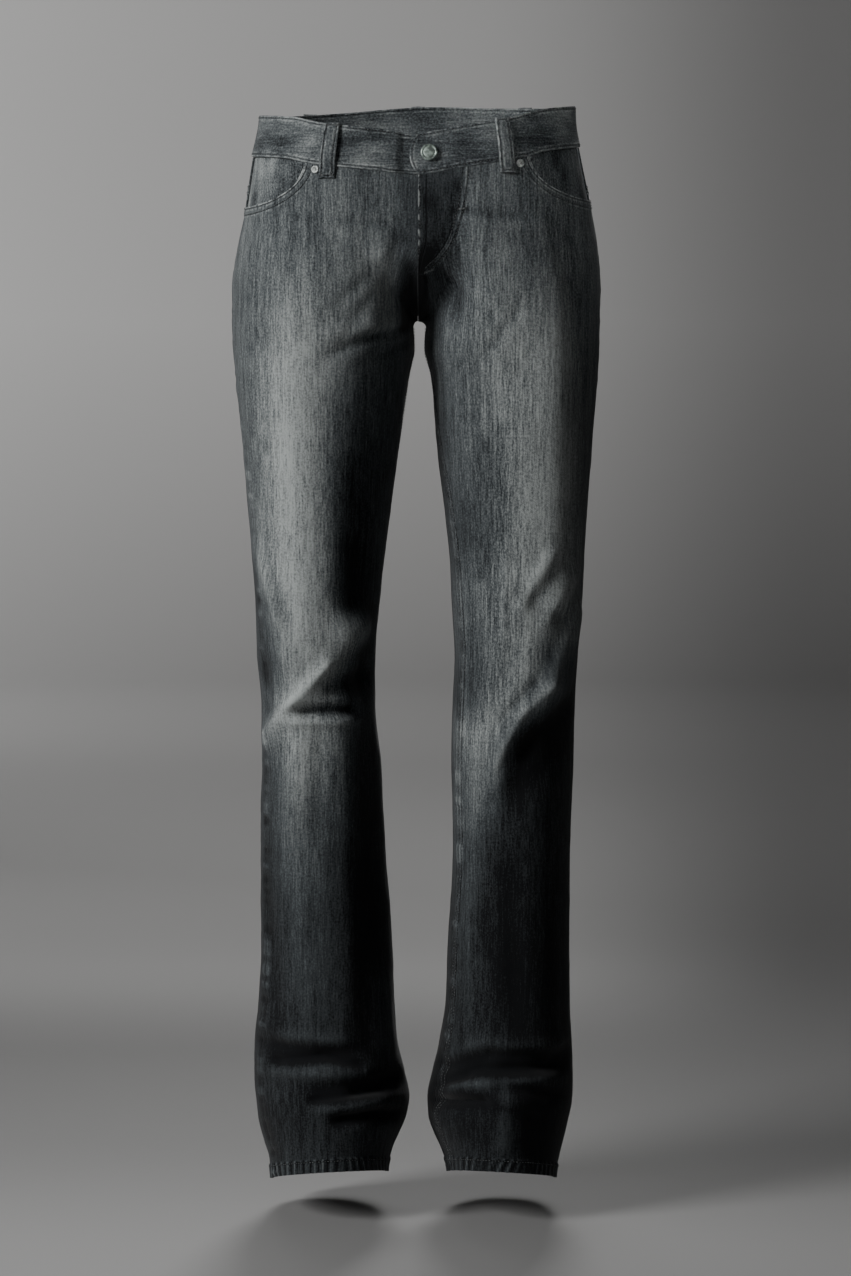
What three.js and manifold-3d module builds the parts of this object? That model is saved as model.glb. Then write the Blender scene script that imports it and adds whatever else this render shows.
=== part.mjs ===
import * as THREE from "three";
import Module from "manifold-3d";

// Straight leg jeans in their worn form, empty, with open waist and hems.
// Millimetres. X points to the wearer's left, the front faces -Y and Z is up.
// The origin is in the middle of the waist, level with the waistband's upper edge.

const wasm = await Module();
wasm.setup();

// Cloth
const WALL = 1.4; // denim with its seam allowance
const HALF_SEAM = 0.15; // each panel stops this far short of its seam line
const CROTCH_Z = -199; // fork of the legs
const CROTCH_Y = 12; // the fork lies a little behind the side seams
const HEM_Z = -1062; // hem at the side of the leg
const FORK_ROUND = 7; // height over which the inner legs part below the fork
const FRONT_RISE_BEND_Z = -112; // the front centre seam starts to curve under
const BACK_RISE_BEND_Z = -118; // the back centre seam starts to curve under
const SUPER = 2.2; // roundness of each quarter of a section, 2 is an ellipse
const WEB_SOFT = 9; // rounding between the legs and the web above the fork
const END_TURN = 1.1; // radians of an inner quarter past which it bends to the seam

// Waistband
const BAND_HEIGHT = 40.2;
const WAIST_LEAN = 4.6; // the waist is this much higher at the wearer's left, lower at the right
const GIRTH = 860; // of the waistband, all round
const SEAM_NEAR_Z = -40; // height near its seam, where girth shares are found from widths
const BAND_OUT = 1.6; // its outer face stands this far off the body surface
const BAND_IN = 1.4;
const BAND_UNDER = 3.4; // the under end lies this much deeper at the closure
const TAB_OVER = -0.018; // girth share where the over end stops
const UNDER_END = 0.1; // girth share where the hidden under end stops

// Pockets
const MOUTH_X = 110; // the pocket mouth meets the waistband at this half width
const MOUTH_SIDE_Z = -84; // and the side seam near this height
const MOUTH_LEAN = 3.5; // higher by this on the wearer's left, lower on the right
const MOUTH_NEAR_Z = -60; // height at which its girth shares are found from widths
const SIDE_HALF_WIDTH = 172; // half width at the side end of the mouth
const POCKET_GAP = 0.35; // the back pockets lie this far off the panel

// Hem, fly, loops and hardware
const HEM_BAND = 14;
const HEM_RISE = 0.9; // each face of the turned hem stands out by this
const FLY_WIDTH = 42; // from the centre to the curved stitch line
const FLY_RISE = 0.8; // the folded fly edge stands out by this
const FLY_BOTTOM_Z = -150;
const LOOP_WIDTH = 14.5;
const LOOP_THICK = 2;
const LOOP_BELOW = 12; // a loop ends this far below the waistband seam
const LOOP_ARCH = 2.6; // slack of a loop over the waistband
const BUTTON_X = 11;
const BUTTON_Z = -37.3;
const BUTTON_RADIUS = 8.2;
const RIVET_X = 99;
const RIVET_BELOW = 5.4; // a rivet's centre lies this far below the waistband seam
const RIVET_RADIUS = 4;

// Half widths of each leg by height, measured from the centre line.
// outL and inL are the wearer's left leg, outR and inR the right one.
const WIDTH_COLUMNS = ["z", "outL", "inL", "outR", "inR"];
const WIDTHS = [
  [40, 154, 8, 155, 4],
  [0, 155, 8, 156, 4],
  [-40, 162, 8, 164, 4],
  [-82, 170.8, 8, 170.5, 4],
  [-94, 173, 8, 172.3, 4],
  [-127, 178.4, 8, 179.3, 4],
  [-165, 181.6, 8, 184.6, 4],
  [-202, 181, 8, 184.9, 4.5],
  [-227, 180.2, 7, 184, 4],
  [-252, 179.2, 13, 182, 9],
  [-327, 173.2, 19.5, 174.6, 19],
  [-427, 166.4, 30.6, 166.3, 32.2],
  [-477, 163.7, 33.6, 162.2, 38.2],
  [-527, 159.9, 36.6, 161.2, 42.2],
  [-577, 156.9, 34.8, 157.2, 43.2],
  [-637, 155.8, 33.4, 156.4, 37.6],
  [-727, 153.2, 35, 158.4, 33],
  [-827, 152.6, 29.8, 158.1, 25.8],
  [-880, 153.2, 28.2, 161.1, 24.2],
  [-927, 155.4, 21.4, 165.1, 20.4],
  [-957, 157, 14.6, 165.4, 13.4],
  [-985, 155.2, 9.4, 163.4, 9],
  [-1004, 151.4, 10.2, 161, 11.6],
  [-1024, 147, 16.4, 155.6, 19.6],
  [-1040, 143, 24, 151, 26.6],
  [-1062, 139.6, 30, 148.6, 31.4],
];

// Depths by height: front and back bulges, their places across the leg as a
// share of its width, the centre seams above the fork, and the seam twist.
const DEPTH_COLUMNS = [
  "z", "frontY", "frontAt", "midFrontY", "sideY", "backY", "backAt", "midBackY", "twist",
];
const DEPTHS = [
  [40, -94, 0.2, -94, 2, 98, 0.2, 98, 0],
  [0, -98, 0.22, -98, 2, 103, 0.24, 103, 0],
  [-60, -106, 0.27, -106, 3, 113, 0.34, 109, 0],
  [-112, -109, 0.33, -108, 4, 122, 0.4, 112, 0],
  [-150, -108, 0.4, -107, 5, 126, 0.43, 114, 0],
  [-199, -105, 0.47, -104, 7, 114, 0.46, 108, 0],
  [-235, -101, 0.49, -100, 7, 99, 0.48, 98, 1],
  [-277, -98, 0.5, -98, 6, 89, 0.5, 88, 9],
  [-377, -92, 0.5, -92, 4, 82, 0.5, 82, 24],
  [-477, -86, 0.5, -86, 2, 76, 0.5, 76, 28],
  [-580, -81, 0.5, -81, 1, 71, 0.5, 71, 28],
  [-640, -76, 0.5, -76, 4, 74, 0.5, 74, 28],
  [-720, -68, 0.5, -68, 9, 80, 0.5, 80, 28],
  [-850, -62, 0.5, -62, 12, 84, 0.5, 84, 27],
  [-950, -64, 0.5, -64, 14, 90, 0.5, 90, 26],
  [-985, -73, 0.5, -73, 14, 92, 0.5, 92, 26],
  [-1062, -66, 0.5, -66, 16, 98, 0.5, 98, 26],
];

// Upper edge of the waistband by girth share, 0 at centre front, 1 at centre back.
const BAND_TOP_COLUMNS = ["girth", "z"];
const BAND_TOPS = [
  [0, -17.9], [0.09, -12.4], [0.16, -8.4], [0.21, -5.4], [0.25, -1.9], [0.29, 2.1], [0.4, 6.1],
  [0.5, 8.1], [0.65, 9.8], [0.8, 13], [1, 17],
];

// Large folds as soft ridges (depth above 0) and troughs, from one point to another.
// face is -1 on the front and 1 on the back; fade is how far an end runs out.
const FOLD_COLUMNS = ["face", "x1", "z1", "x2", "z2", "width", "depth", "fade"];
const FOLDS = [
  // wearer's right leg, front
  [-1, -152, -442, -128, -527, 12, 3.5, 26],
  [-1, -92, -542, -124, -580, 11, 4, 18],
  [-1, -124, -580, -150, -612, 12, 3.6, 20],
  [-1, -116, -582, -72, -584, 8, -4, 14],
  [-1, -58, -500, -66, -512, 12, 4, 14],
  [-1, -132, -919, -84, -923, 10, -6.5, 20],
  [-1, -94, -968, -34, -960, 10, -6, 14],
  [-1, -72, -1004, -40, -998, 8, -4.5, 12],
  [-1, -126, -944, -66, -941, 9, 3.5, 20],
  // wearer's left leg, front
  [-1, 112, -470, 134, -486, 8, -4, 12],
  [-1, 164, -500, 131, -564, 12, 4, 24],
  [-1, 131, -564, 88, -611, 12, 4.2, 20],
  [-1, 88, -611, 79, -646, 9, 3.5, 16],
  [-1, 142, -612, 116, -650, 14, -3.5, 20],
  [-1, 24, -945, 70, -928, 10, -6, 14],
  [-1, 70, -928, 136, -932, 10, -6, 18],
  [-1, 20, -984, 62, -981, 9, -5, 12],
  [-1, 40, -962, 120, -956, 9, 3.5, 18],
  // hips and fork, front
  [-1, 48, -92, 92, -98, 7, -2, 16],
  [-1, -18, -122, -34, -196, 9, -3, 22],
  [-1, 20, -150, 36, -186, 9, -3, 18],
  // behind the knees, seat and heels
  [1, -140, -520, -70, -560, 13, -5, 24],
  [1, -136, -580, -64, -610, 12, -5, 24],
  [1, -128, -548, -76, -586, 10, 4, 22],
  [1, 138, -512, 66, -548, 13, -5, 24],
  [1, 132, -574, 62, -604, 12, -5, 24],
  [1, 126, -542, 74, -576, 10, 4, 22],
  [1, -150, -214, -44, -236, 14, -5, 26],
  [1, 150, -210, 44, -234, 14, -5, 26],
  [1, -140, -262, -60, -286, 12, -3, 26],
  [1, 140, -258, 60, -280, 12, -3, 26],
  [1, -140, -900, -60, -930, 13, -4.5, 24],
  [1, 132, -904, 54, -930, 13, -4.5, 24],
  [1, -132, -968, -56, -984, 12, -4.5, 22],
  [1, 128, -966, 50, -984, 12, -4.5, 22],
];

// Heights of the panel rows below the hip, close together at the fork and hem.
const HIP_ROW_Z = -150;
const ROWS_BELOW = [
  -150, -166, -180, -190, -196, -199.6, -202, -207, -218, -236, -256, -282, -312, -344,
  -378, -412, -444, -472, -498, -522, -544, -564, -582, -600, -622, -650, -686, -726,
  -768, -812, -852, -884, -908, -926, -942, -958, -974, -990, -1008, -1028, -1046.5,
  -1048.5, -1062,
];
const TOP_CELLS = 6; // rows between a panel's upper edge and the hip row
const PANEL_CELLS = 12; // columns of a panel
const MOUTH_CELLS = 5; // of which this many lie along the pocket mouth

// Number and interpolation helpers

function clamp(value, low, high) {
  return Math.min(high, Math.max(low, value));
}

function mix(a, b, share) {
  return a + (b - a) * share;
}

function ease(value) {
  const t = clamp(value, 0, 1);
  return t * t * (3 - 2 * t);
}

function radians(degrees) {
  return (degrees * Math.PI) / 180;
}

// Slope at a row of a table, limited so that the curve never overshoots.
function slopeAt(rows, column, i) {
  if (i === 0 || i === rows.length - 1) return 0;
  const before = (rows[i][column] - rows[i - 1][column]) / (rows[i][0] - rows[i - 1][0]);
  const after = (rows[i + 1][column] - rows[i][column]) / (rows[i + 1][0] - rows[i][0]);
  if (before * after <= 0) return 0;
  return (2 * before * after) / (before + after);
}

// Smooth value of a named column at a key, between the rows of a table.
function lookUp(rows, columns, name, key) {
  const column = columns.indexOf(name);
  const falling = rows[1][0] < rows[0][0];
  const last = rows.length - 1;
  const past = (i) => (falling ? key > rows[i][0] : key < rows[i][0]);
  if (past(0)) return rows[0][column];
  if (!past(last)) return rows[last][column];
  let i = 0;
  while (!past(i + 1)) i += 1;
  const span = rows[i + 1][0] - rows[i][0];
  const t = (key - rows[i][0]) / span;
  const [a, b] = [rows[i][column], rows[i + 1][column]];
  const [da, db] = [slopeAt(rows, column, i) * span, slopeAt(rows, column, i + 1) * span];
  const t2 = t * t;
  const t3 = t2 * t;
  return (
    (2 * t3 - 3 * t2 + 1) * a + (t3 - 2 * t2 + t) * da + (3 * t2 - 2 * t3) * b + (t3 - t2) * db
  );
}

// Sections of the worn form

// Key sizes of one leg's section at a height. side is 1 for the wearer's left, -1 right.
function makeSection(side, z) {
  const leg = side > 0 ? "L" : "R";
  const width = (name) => lookUp(WIDTHS, WIDTH_COLUMNS, name + leg, z);
  const depth = (name) => lookUp(DEPTHS, DEPTH_COLUMNS, name, z);
  const below = CROTCH_Z - z;
  const apart = below <= 0 ? 0 : Math.sqrt(1 - (1 - clamp(below / FORK_ROUND, 0, 1)) ** 2);
  const inX = width("in");
  const outX = width("out");
  const rise = (bendZ) => {
    const share = clamp((bendZ - z) / (bendZ - CROTCH_Z), 0, 1);
    return Math.sqrt(1 - share * share);
  };
  const inY = below > 0 ? mix(CROTCH_Y, depth("sideY") + 4, ease(below / 60)) : CROTCH_Y;
  return {
    outX,
    inX,
    endX: inX * apart,
    sideY: depth("sideY"),
    frontX: mix(inX, outX, depth("frontAt")),
    frontY: depth("frontY"),
    backX: mix(inX, outX, depth("backAt")),
    backY: depth("backY"),
    inY,
    webFrontY: inY + (depth("midFrontY") - inY) * rise(FRONT_RISE_BEND_Z),
    webBackY: inY + (depth("midBackY") - inY) * rise(BACK_RISE_BEND_Z),
    webSoft: WEB_SOFT * Math.min(1, 3 * rise(FRONT_RISE_BEND_Z)),
  };
}

// Outer quarter of a section, from the side point to the front or back bulge.
function outerQuarter(s, bulgeX, bulgeY, turn) {
  const across = Math.cos(turn) ** (2 / SUPER);
  const along = Math.sin(turn) ** (2 / SUPER);
  return [mix(bulgeX, s.outX, across), mix(s.sideY, bulgeY, along)];
}

// Inner quarter of the leg itself, from the bulge to the inseam.
function innerQuarter(s, bulgeX, bulgeY, turn) {
  const across = Math.sin(turn) ** (2 / SUPER);
  const along = Math.cos(turn) ** (2 / SUPER);
  const ending = ease((turn - END_TURN) / (Math.PI / 2 - END_TURN));
  return [mix(bulgeX, s.inX, across) - (s.inX - s.endX) * ending, mix(s.inY, bulgeY, along)];
}

// The larger of two values, rounded where they are close.
function softMax(a, b, soft) {
  const h = soft > 0 ? Math.max(0, soft - Math.abs(a - b)) / soft : 0;
  return Math.max(a, b) + (h * h * soft) / 4;
}

// Point of a leg's section at a ring angle: 0 side, 90 front, 180 inner, 270 back.
function legPoint(s, angle) {
  const quarter = Math.min(3, Math.floor(angle / 90));
  const turn = radians(angle - 90 * quarter);
  const back = Math.PI / 2 - turn;
  if (quarter === 0) return outerQuarter(s, s.frontX, s.frontY, turn);
  if (quarter === 3) return outerQuarter(s, s.backX, s.backY, back);
  if (quarter === 1) return innerQuarter(s, s.frontX, s.frontY, turn);
  return innerQuarter(s, s.backX, s.backY, back);
}

// The same with the web of cloth that joins the legs above the fork.
function sectionPoint(s, angle) {
  const [x, y] = legPoint(s, angle);
  if (angle < 90 || angle > 270) return [x, y];
  if (angle < 180) return [x, -softMax(-y, -s.webFrontY, s.webSoft * webShare(angle - 90))];
  return [x, softMax(y, s.webBackY, s.webSoft * webShare(270 - angle))];
}

// The web's softness grows from nothing at the bulge.
function webShare(angle) {
  return ease(angle / 25);
}

const RING_STEPS = 180; // steps on each of the front and back halves of a ring
const RING_SAMPLES = 2 * RING_STEPS + 2; // the inner end is kept once for each half
const TINY = 1e-7; // degrees
const TORSO_BLEND = 75; // height above the fork over which a ring's own length takes over
const rings = new Map();

// A section's ring as points with their running length, cached by side and height.
// Near the fork the length is the leg's own, so that columns run on smoothly past it.
function ringAt(side, z) {
  const key = side + ":" + z.toFixed(3);
  if (rings.has(key)) return rings.get(key);
  const s = makeSection(side, z);
  const torsoShare = ease((z - CROTCH_Z - 5) / TORSO_BLEND);
  const points = [];
  const lengths = [];
  let run = 0;
  let lastLeg = null;
  for (let i = 0; i < RING_SAMPLES; i += 1) {
    const onBack = i > RING_STEPS;
    const angle = (180 * (onBack ? i - 1 : i)) / RING_STEPS + (onBack ? TINY : -TINY);
    const point = sectionPoint(s, clamp(angle, 0, 360 - TINY));
    const leg = legPoint(s, clamp(angle, 0, 360 - TINY));
    if (i > 0 && i !== RING_STEPS + 1) {
      const last = points[i - 1];
      const step = Math.hypot(point[0] - last[0], point[1] - last[1]);
      const legStep = Math.hypot(leg[0] - lastLeg[0], leg[1] - lastLeg[1]);
      run += mix(legStep, step, torsoShare);
    }
    points.push(point);
    lengths.push(run);
    lastLeg = leg;
  }
  const ring = { side, z, points, lengths, total: run };
  rings.set(key, ring);
  return ring;
}

// Running length at a ring angle, which may lie below 0 or above 360.
function lengthAtAngle(ring, angle) {
  const turns = Math.floor(angle / 360);
  const steps = ((angle - 360 * turns) / 180) * RING_STEPS;
  const place = steps < RING_STEPS ? steps : steps + 1;
  const i = Math.min(Math.floor(place), RING_SAMPLES - 2);
  return turns * ring.total + mix(ring.lengths[i], ring.lengths[i + 1], place - i);
}

// Point of a ring at a running length, as a vector on the wearer's proper side.
function pointAtLength(ring, length) {
  const run = length - Math.floor(length / ring.total) * ring.total;
  let low = 0;
  let high = RING_SAMPLES - 1;
  while (high - low > 1) {
    const middle = Math.floor((low + high) / 2);
    if (ring.lengths[middle] <= run) low = middle;
    else high = middle;
  }
  const span = ring.lengths[high] - ring.lengths[low];
  const share = span > 0 ? (run - ring.lengths[low]) / span : 0;
  const [a, b] = [ring.points[low], ring.points[high]];
  return new THREE.Vector3(ring.side * mix(a[0], b[0], share), mix(a[1], b[1], share), ring.z);
}

// Running lengths of a panel's outer and inner seams. half is "front" or "back".
function panelSpan(ring, half) {
  const twist = -ring.side * lookUp(DEPTHS, DEPTH_COLUMNS, "twist", ring.z);
  const sideSeam = lengthAtAngle(ring, twist);
  const innerSeam = lengthAtAngle(ring, 180 + twist);
  if (half === "front") return [sideSeam, innerSeam];
  return [sideSeam + ring.total, innerSeam];
}

// Body surface without folds: across is 0 at the side seam and 1 at the inner seam.
function bodyPoint(side, half, across, z) {
  const ring = ringAt(side, z);
  const [outer, inner] = panelSpan(ring, half);
  const inset = HALF_SEAM / Math.abs(inner - outer);
  return pointAtLength(ring, mix(outer, inner, clamp(across, inset, 1 - inset)));
}

// Outward direction of the body surface at a panel place.
function bodyNormal(side, half, across, z) {
  const stepAcross = 0.012;
  const stepUp = 1.5;
  const right = bodyPoint(side, half, Math.min(1, across + stepAcross), z);
  const left = bodyPoint(side, half, Math.max(0, across - stepAcross), z);
  const above = bodyPoint(side, half, across, z + stepUp);
  const under = bodyPoint(side, half, across, z - stepUp);
  const normal = right.sub(left).cross(above.sub(under)).normalize();
  const outward = side * (half === "front" ? -1 : 1);
  return normal.multiplyScalar(outward);
}

// How far a fold row moves the cloth at a point.
function foldAt(row, point, normal) {
  const fold = Object.fromEntries(FOLD_COLUMNS.map((name, i) => [name, row[i]]));
  const facing = ease((fold.face * normal.y - 0.05) / 0.4);
  if (facing === 0 || Math.sign(fold.x1) !== Math.sign(point.x)) return 0;
  const dx = fold.x2 - fold.x1;
  const dz = fold.z2 - fold.z1;
  const length = Math.hypot(dx, dz);
  const along = ((point.x - fold.x1) * dx + (point.z - fold.z1) * dz) / length;
  const across = ((point.x - fold.x1) * dz - (point.z - fold.z1) * dx) / length;
  const past = Math.max(0, -along, along - length);
  const shape = Math.exp(-((across / fold.width) ** 2) - (past / fold.fade) ** 2);
  return fold.depth * shape * facing;
}

function foldDepth(point, normal) {
  return FOLDS.reduce((sum, row) => sum + foldAt(row, point, normal), 0);
}

// Heels hang lower than insteps, and outer corners lower than inner ones.
const HEM_SLOPE_FROM = -900; // the slope of the hem starts to show at this height
const INSTEP_SLOPE = 0.24;
const HEEL_SLOPE = 0.13;
const SIDE_SLOPE = 0.06;

function hemDrop(point) {
  const weight = ease((HEM_SLOPE_FROM - point.z) / (HEM_SLOPE_FROM - HEM_Z));
  const back = point.y - 15;
  const sideways = Math.abs(point.x) - 88;
  return -weight * ((back < 0 ? INSTEP_SLOPE : HEEL_SLOPE) * back + SIDE_SLOPE * sideways);
}

// The cloth's place on the body surface, moved out by a distance.
function clothPoint(side, half, across, z, out) {
  const base = bodyPoint(side, half, across, z);
  const normal = bodyNormal(side, half, across, z);
  const point = base.clone().addScaledVector(normal, out + foldDepth(base, normal));
  if (side * point.x < HALF_SEAM) point.x = side * HALF_SEAM;
  point.z += hemDrop(base);
  return point;
}

// Girth share: 0 centre front, 1 centre back, positive round the wearer's left.
function girthPlace(girth) {
  const wrapped = girth > 1 ? girth - 2 : girth;
  const share = Math.abs(wrapped);
  const side = wrapped < 0 ? -1 : 1;
  if (share <= 0.5) return { side, half: "front", across: 1 - 2 * share };
  return { side, half: "back", across: 2 * share - 1 };
}

function girthPoint(girth, z, out) {
  const place = girthPlace(girth);
  return clothPoint(place.side, place.half, place.across, z, out);
}

function bandTopZ(girth) {
  const wrapped = girth > 1 ? girth - 2 : girth;
  const lean = WAIST_LEAN * Math.sin(Math.PI * wrapped);
  return lookUp(BAND_TOPS, BAND_TOP_COLUMNS, "z", Math.abs(wrapped)) + lean;
}

function bandSeamZ(girth) {
  return bandTopZ(girth) - BAND_HEIGHT;
}

// Girth share at which the front or back has a given half width.
function girthAtX(x, z, half) {
  const side = Math.sign(x) || 1;
  let near = half === "front" ? 0 : 1;
  let far = 0.5;
  for (let i = 0; i < 40; i += 1) {
    const middle = (near + far) / 2;
    const reached = Math.abs(girthPoint(side * middle, z, 0).x);
    if (reached < Math.abs(x)) near = middle;
    else far = middle;
  }
  return side * near;
}

// Solids from grids of points

// Closed wall between an outer and an inner grid of the same rows and columns.
function wallGeometry(outer, inner) {
  const rows = outer.length;
  const columns = outer[0].length;
  const positions = [];
  [outer, inner].forEach((grid) => grid.flat().forEach((p) => positions.push(p.x, p.y, p.z)));
  const at = (layer, i, j) => layer * rows * columns + i * columns + j;
  const faces = [];
  const quad = (a, b, c, d) => faces.push(a, b, c, a, c, d);
  for (let i = 0; i < rows - 1; i += 1) {
    for (let j = 0; j < columns - 1; j += 1) {
      quad(at(0, i, j), at(0, i + 1, j), at(0, i + 1, j + 1), at(0, i, j + 1));
      quad(at(1, i, j), at(1, i, j + 1), at(1, i + 1, j + 1), at(1, i + 1, j));
    }
  }
  for (let i = 0; i < rows - 1; i += 1) {
    const right = columns - 1;
    quad(at(0, i, 0), at(1, i, 0), at(1, i + 1, 0), at(0, i + 1, 0));
    quad(at(0, i, right), at(0, i + 1, right), at(1, i + 1, right), at(1, i, right));
  }
  for (let j = 0; j < columns - 1; j += 1) {
    const foot = rows - 1;
    quad(at(0, 0, j), at(0, 0, j + 1), at(1, 0, j + 1), at(1, 0, j));
    quad(at(0, foot, j), at(1, foot, j), at(1, foot, j + 1), at(0, foot, j + 1));
  }
  const geometry = new THREE.BufferGeometry();
  geometry.setAttribute("position", new THREE.Float32BufferAttribute(positions, 3));
  geometry.setIndex(faces);
  geometry.computeVertexNormals();
  return geometry;
}

// Twice a triangle grid's signed volume decides which way its faces point.
function signedVolume(geometry) {
  const p = geometry.getAttribute("position");
  const index = geometry.getIndex().array;
  const corner = (i) => new THREE.Vector3().fromBufferAttribute(p, index[i]);
  let sum = 0;
  for (let i = 0; i < index.length; i += 3) {
    sum += corner(i).dot(corner(i + 1).cross(corner(i + 2)));
  }
  return sum;
}

// A wall whose faces point out, whichever way its rows and columns run.
function wall(outer, inner) {
  const geometry = wallGeometry(outer, inner);
  if (signedVolume(geometry) > 0) return geometry;
  const flip = (grid) => grid.map((row) => [...row].reverse());
  return wallGeometry(flip(outer), flip(inner));
}

// Wall from a grid of places, each {side, half, across, z}, and two distances.
function wallFromPlaces(places, outAt, inAt) {
  const layer = (distance) =>
    places.map((row) =>
      row.map((p) => clothPoint(p.side, p.half, p.across, p.z, distance(p))),
    );
  return wall(layer(outAt), layer(inAt));
}

// Leg panels

function hemRise(z) {
  return HEM_RISE * clamp((HEM_Z + HEM_BAND + 1 - z) / 1.5, 0, 1);
}

// Folded fly edge on the wearer's left front, which lies over the right one.
function flyRise(p) {
  if (p.side < 0 || p.half !== "front") return 0;
  const x = bodyPoint(p.side, p.half, p.across, p.z).x;
  return FLY_RISE * ease((FLY_WIDTH - x) / 10) * ease((p.z - CROTCH_Z + 8) / 30);
}

// Height of the pocket mouth at an angle, 0 at the side seam and 90 at the waistband.
function mouthZ(side, cornerZ, angle) {
  return mix(MOUTH_SIDE_Z + side * MOUTH_LEAN, cornerZ, 1 - Math.cos(radians(angle)));
}

// Girth share where the pocket mouth meets the waistband.
function cornerGirth(side) {
  return Math.abs(girthAtX(side * MOUTH_X, SEAM_NEAR_Z, "front"));
}

// Waistband seam, straight between the columns of the panels that are sewn to it.
function sewnSeamZ(side, girth) {
  const corner = cornerGirth(side);
  const columns = girth > 0.5 ? 2 * PANEL_CELLS : (PANEL_CELLS - MOUTH_CELLS) / corner;
  const place = girth * columns;
  const before = Math.floor(place + 1e-6);
  const [low, high] = [before / columns, (before + 1) / columns];
  return mix(bandSeamZ(side * low), bandSeamZ(side * Math.min(high, 1)), place - before);
}

// Upper edge of a front panel as places: the pocket mouth, then the waistband seam.
function frontTop(side) {
  const corner = cornerGirth(side);
  const cornerZ = bandSeamZ(side * corner) - 2 * HALF_SEAM;
  return Array.from({ length: PANEL_CELLS + 1 }, (_, j) => {
    if (j > MOUTH_CELLS) {
      const girth = (corner * (PANEL_CELLS - j)) / (PANEL_CELLS - MOUTH_CELLS);
      const z = bandSeamZ(side * girth) - 2 * HALF_SEAM;
      return { side, half: "front", across: 1 - 2 * girth, z };
    }
    const angle = (90 * j) / MOUTH_CELLS;
    const x = mix(SIDE_HALF_WIDTH, MOUTH_X, Math.sin(radians(angle)));
    const girth = j === 0 ? 0.5 : Math.abs(girthAtX(side * x, MOUTH_NEAR_Z, "front"));
    const meets = j === MOUTH_CELLS ? corner : girth;
    return { side, half: "front", across: 1 - 2 * meets, z: mouthZ(side, cornerZ, angle) };
  });
}

const YOKE_SIDE_Z = -74;
const YOKE_CENTRE_Z = -108;

function yokeLineZ(across) {
  return mix(YOKE_SIDE_Z, YOKE_CENTRE_Z, across);
}

function backTop(side) {
  return Array.from({ length: PANEL_CELLS + 1 }, (_, j) => {
    const across = j / PANEL_CELLS;
    return { side, half: "back", across, z: yokeLineZ(across) - HALF_SEAM };
  });
}

// Grid of places from a panel's upper edge down to the hem. On the back, columns and
// rows bend so that they follow the edges of the patch pocket.
function panelPlaces(top) {
  const onBack = top[0].half === "back";
  const across = (j, z, weight) => (j + (onBack ? weight * pocketBend(j, z) : 0)) / PANEL_CELLS;
  const rows = [];
  for (let i = 0; i < TOP_CELLS; i += 1) {
    const share = i / TOP_CELLS;
    rows.push(
      top.map((p, j) => {
        const z = mix(p.z, HIP_ROW_Z, share);
        const even = across(j, z, ease((share * TOP_CELLS) / POCKET_TOP_ROW));
        return { ...p, across: mix(p.across, even, ease(share)), z };
      }),
    );
  }
  ROWS_BELOW.forEach((z) => {
    const atFoot = onBack && z === POCKET_FOOT_Z;
    rows.push(
      top.map((p, j) => ({ ...p, across: across(j, z, 1), z: z - (atFoot ? footDrop(j) : 0) })),
    );
  });
  return rows;
}

function panel(side, half) {
  const top = half === "front" ? frontTop(side) : backTop(side);
  return wallFromPlaces(
    panelPlaces(top),
    (p) => hemRise(p.z) + flyRise(p),
    (p) => -WALL - hemRise(p.z),
  );
}

// Yokes, pocket facings, back pockets and fly shield

const YOKE_ROWS = 3;

function yoke(side) {
  const rows = [];
  for (let i = 0; i <= YOKE_ROWS; i += 1) {
    rows.push(
      Array.from({ length: PANEL_CELLS + 1 }, (_, j) => {
        const across = j / PANEL_CELLS;
        const seam = bandSeamZ(side * (0.5 + across / 2)) - 2 * HALF_SEAM;
        const z = mix(seam, yokeLineZ(across) + HALF_SEAM, i / YOKE_ROWS);
        return { side, half: "back", across, z };
      }),
    );
  }
  return wallFromPlaces(rows, () => 0, () => -WALL);
}

const FACING_ABOVE = 4; // rows of the facing above the mouth edge
const FACING_BELOW = 2; // rows of the front panel that the facing lies behind
const FACING_TUCK = 2.5; // the facing runs this far up behind the waistband
const FACING_DEEPER = 1; // and there it lies this much deeper
const FACING_GAP = 0.6;
const FACING_THICK = 1.2;

// The plain piece seen inside the pocket mouth. Behind the front panel it follows the
// panel's own places.
function facing(side) {
  const behind = panelPlaces(frontTop(side))
    .slice(0, FACING_BELOW + 1)
    .map((row) => row.slice(0, MOUTH_CELLS + 2));
  const mouth = behind[0];
  const rows = [];
  for (let i = 0; i < FACING_ABOVE; i += 1) {
    rows.push(
      mouth.map((p) => {
        const top = bandSeamZ((side * (1 - p.across)) / 2) + FACING_TUCK;
        return { ...p, z: mix(top, p.z, i / FACING_ABOVE), deeper: i === 0 ? FACING_DEEPER : 0 };
      }),
    );
  }
  const out = (p) => -WALL - FACING_GAP - (p.deeper || 0);
  return wallFromPlaces([...rows, ...behind], out, (p) => out(p) - FACING_THICK);
}

const POCKET_THICK = 1.6;
const POCKET_TOP_ROW = 3; // the panel row that the pocket's upper edge follows
const POCKET_TOP_Z = -120; // near this height
const POCKET_FOOT_Z = -256; // the panel row that its lower edge follows
const POCKET_FOOT_DROP = 20; // the point hangs this far below the row
const POCKET_OUTER = 2; // panel columns of its side edges
const POCKET_INNER = 8;
const POCKET_WIDER = 0.3; // its upper corners lie this share of a cell further out
const POCKET_TAPER = 0.75; // and its lower corners this share of a cell further in

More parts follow.
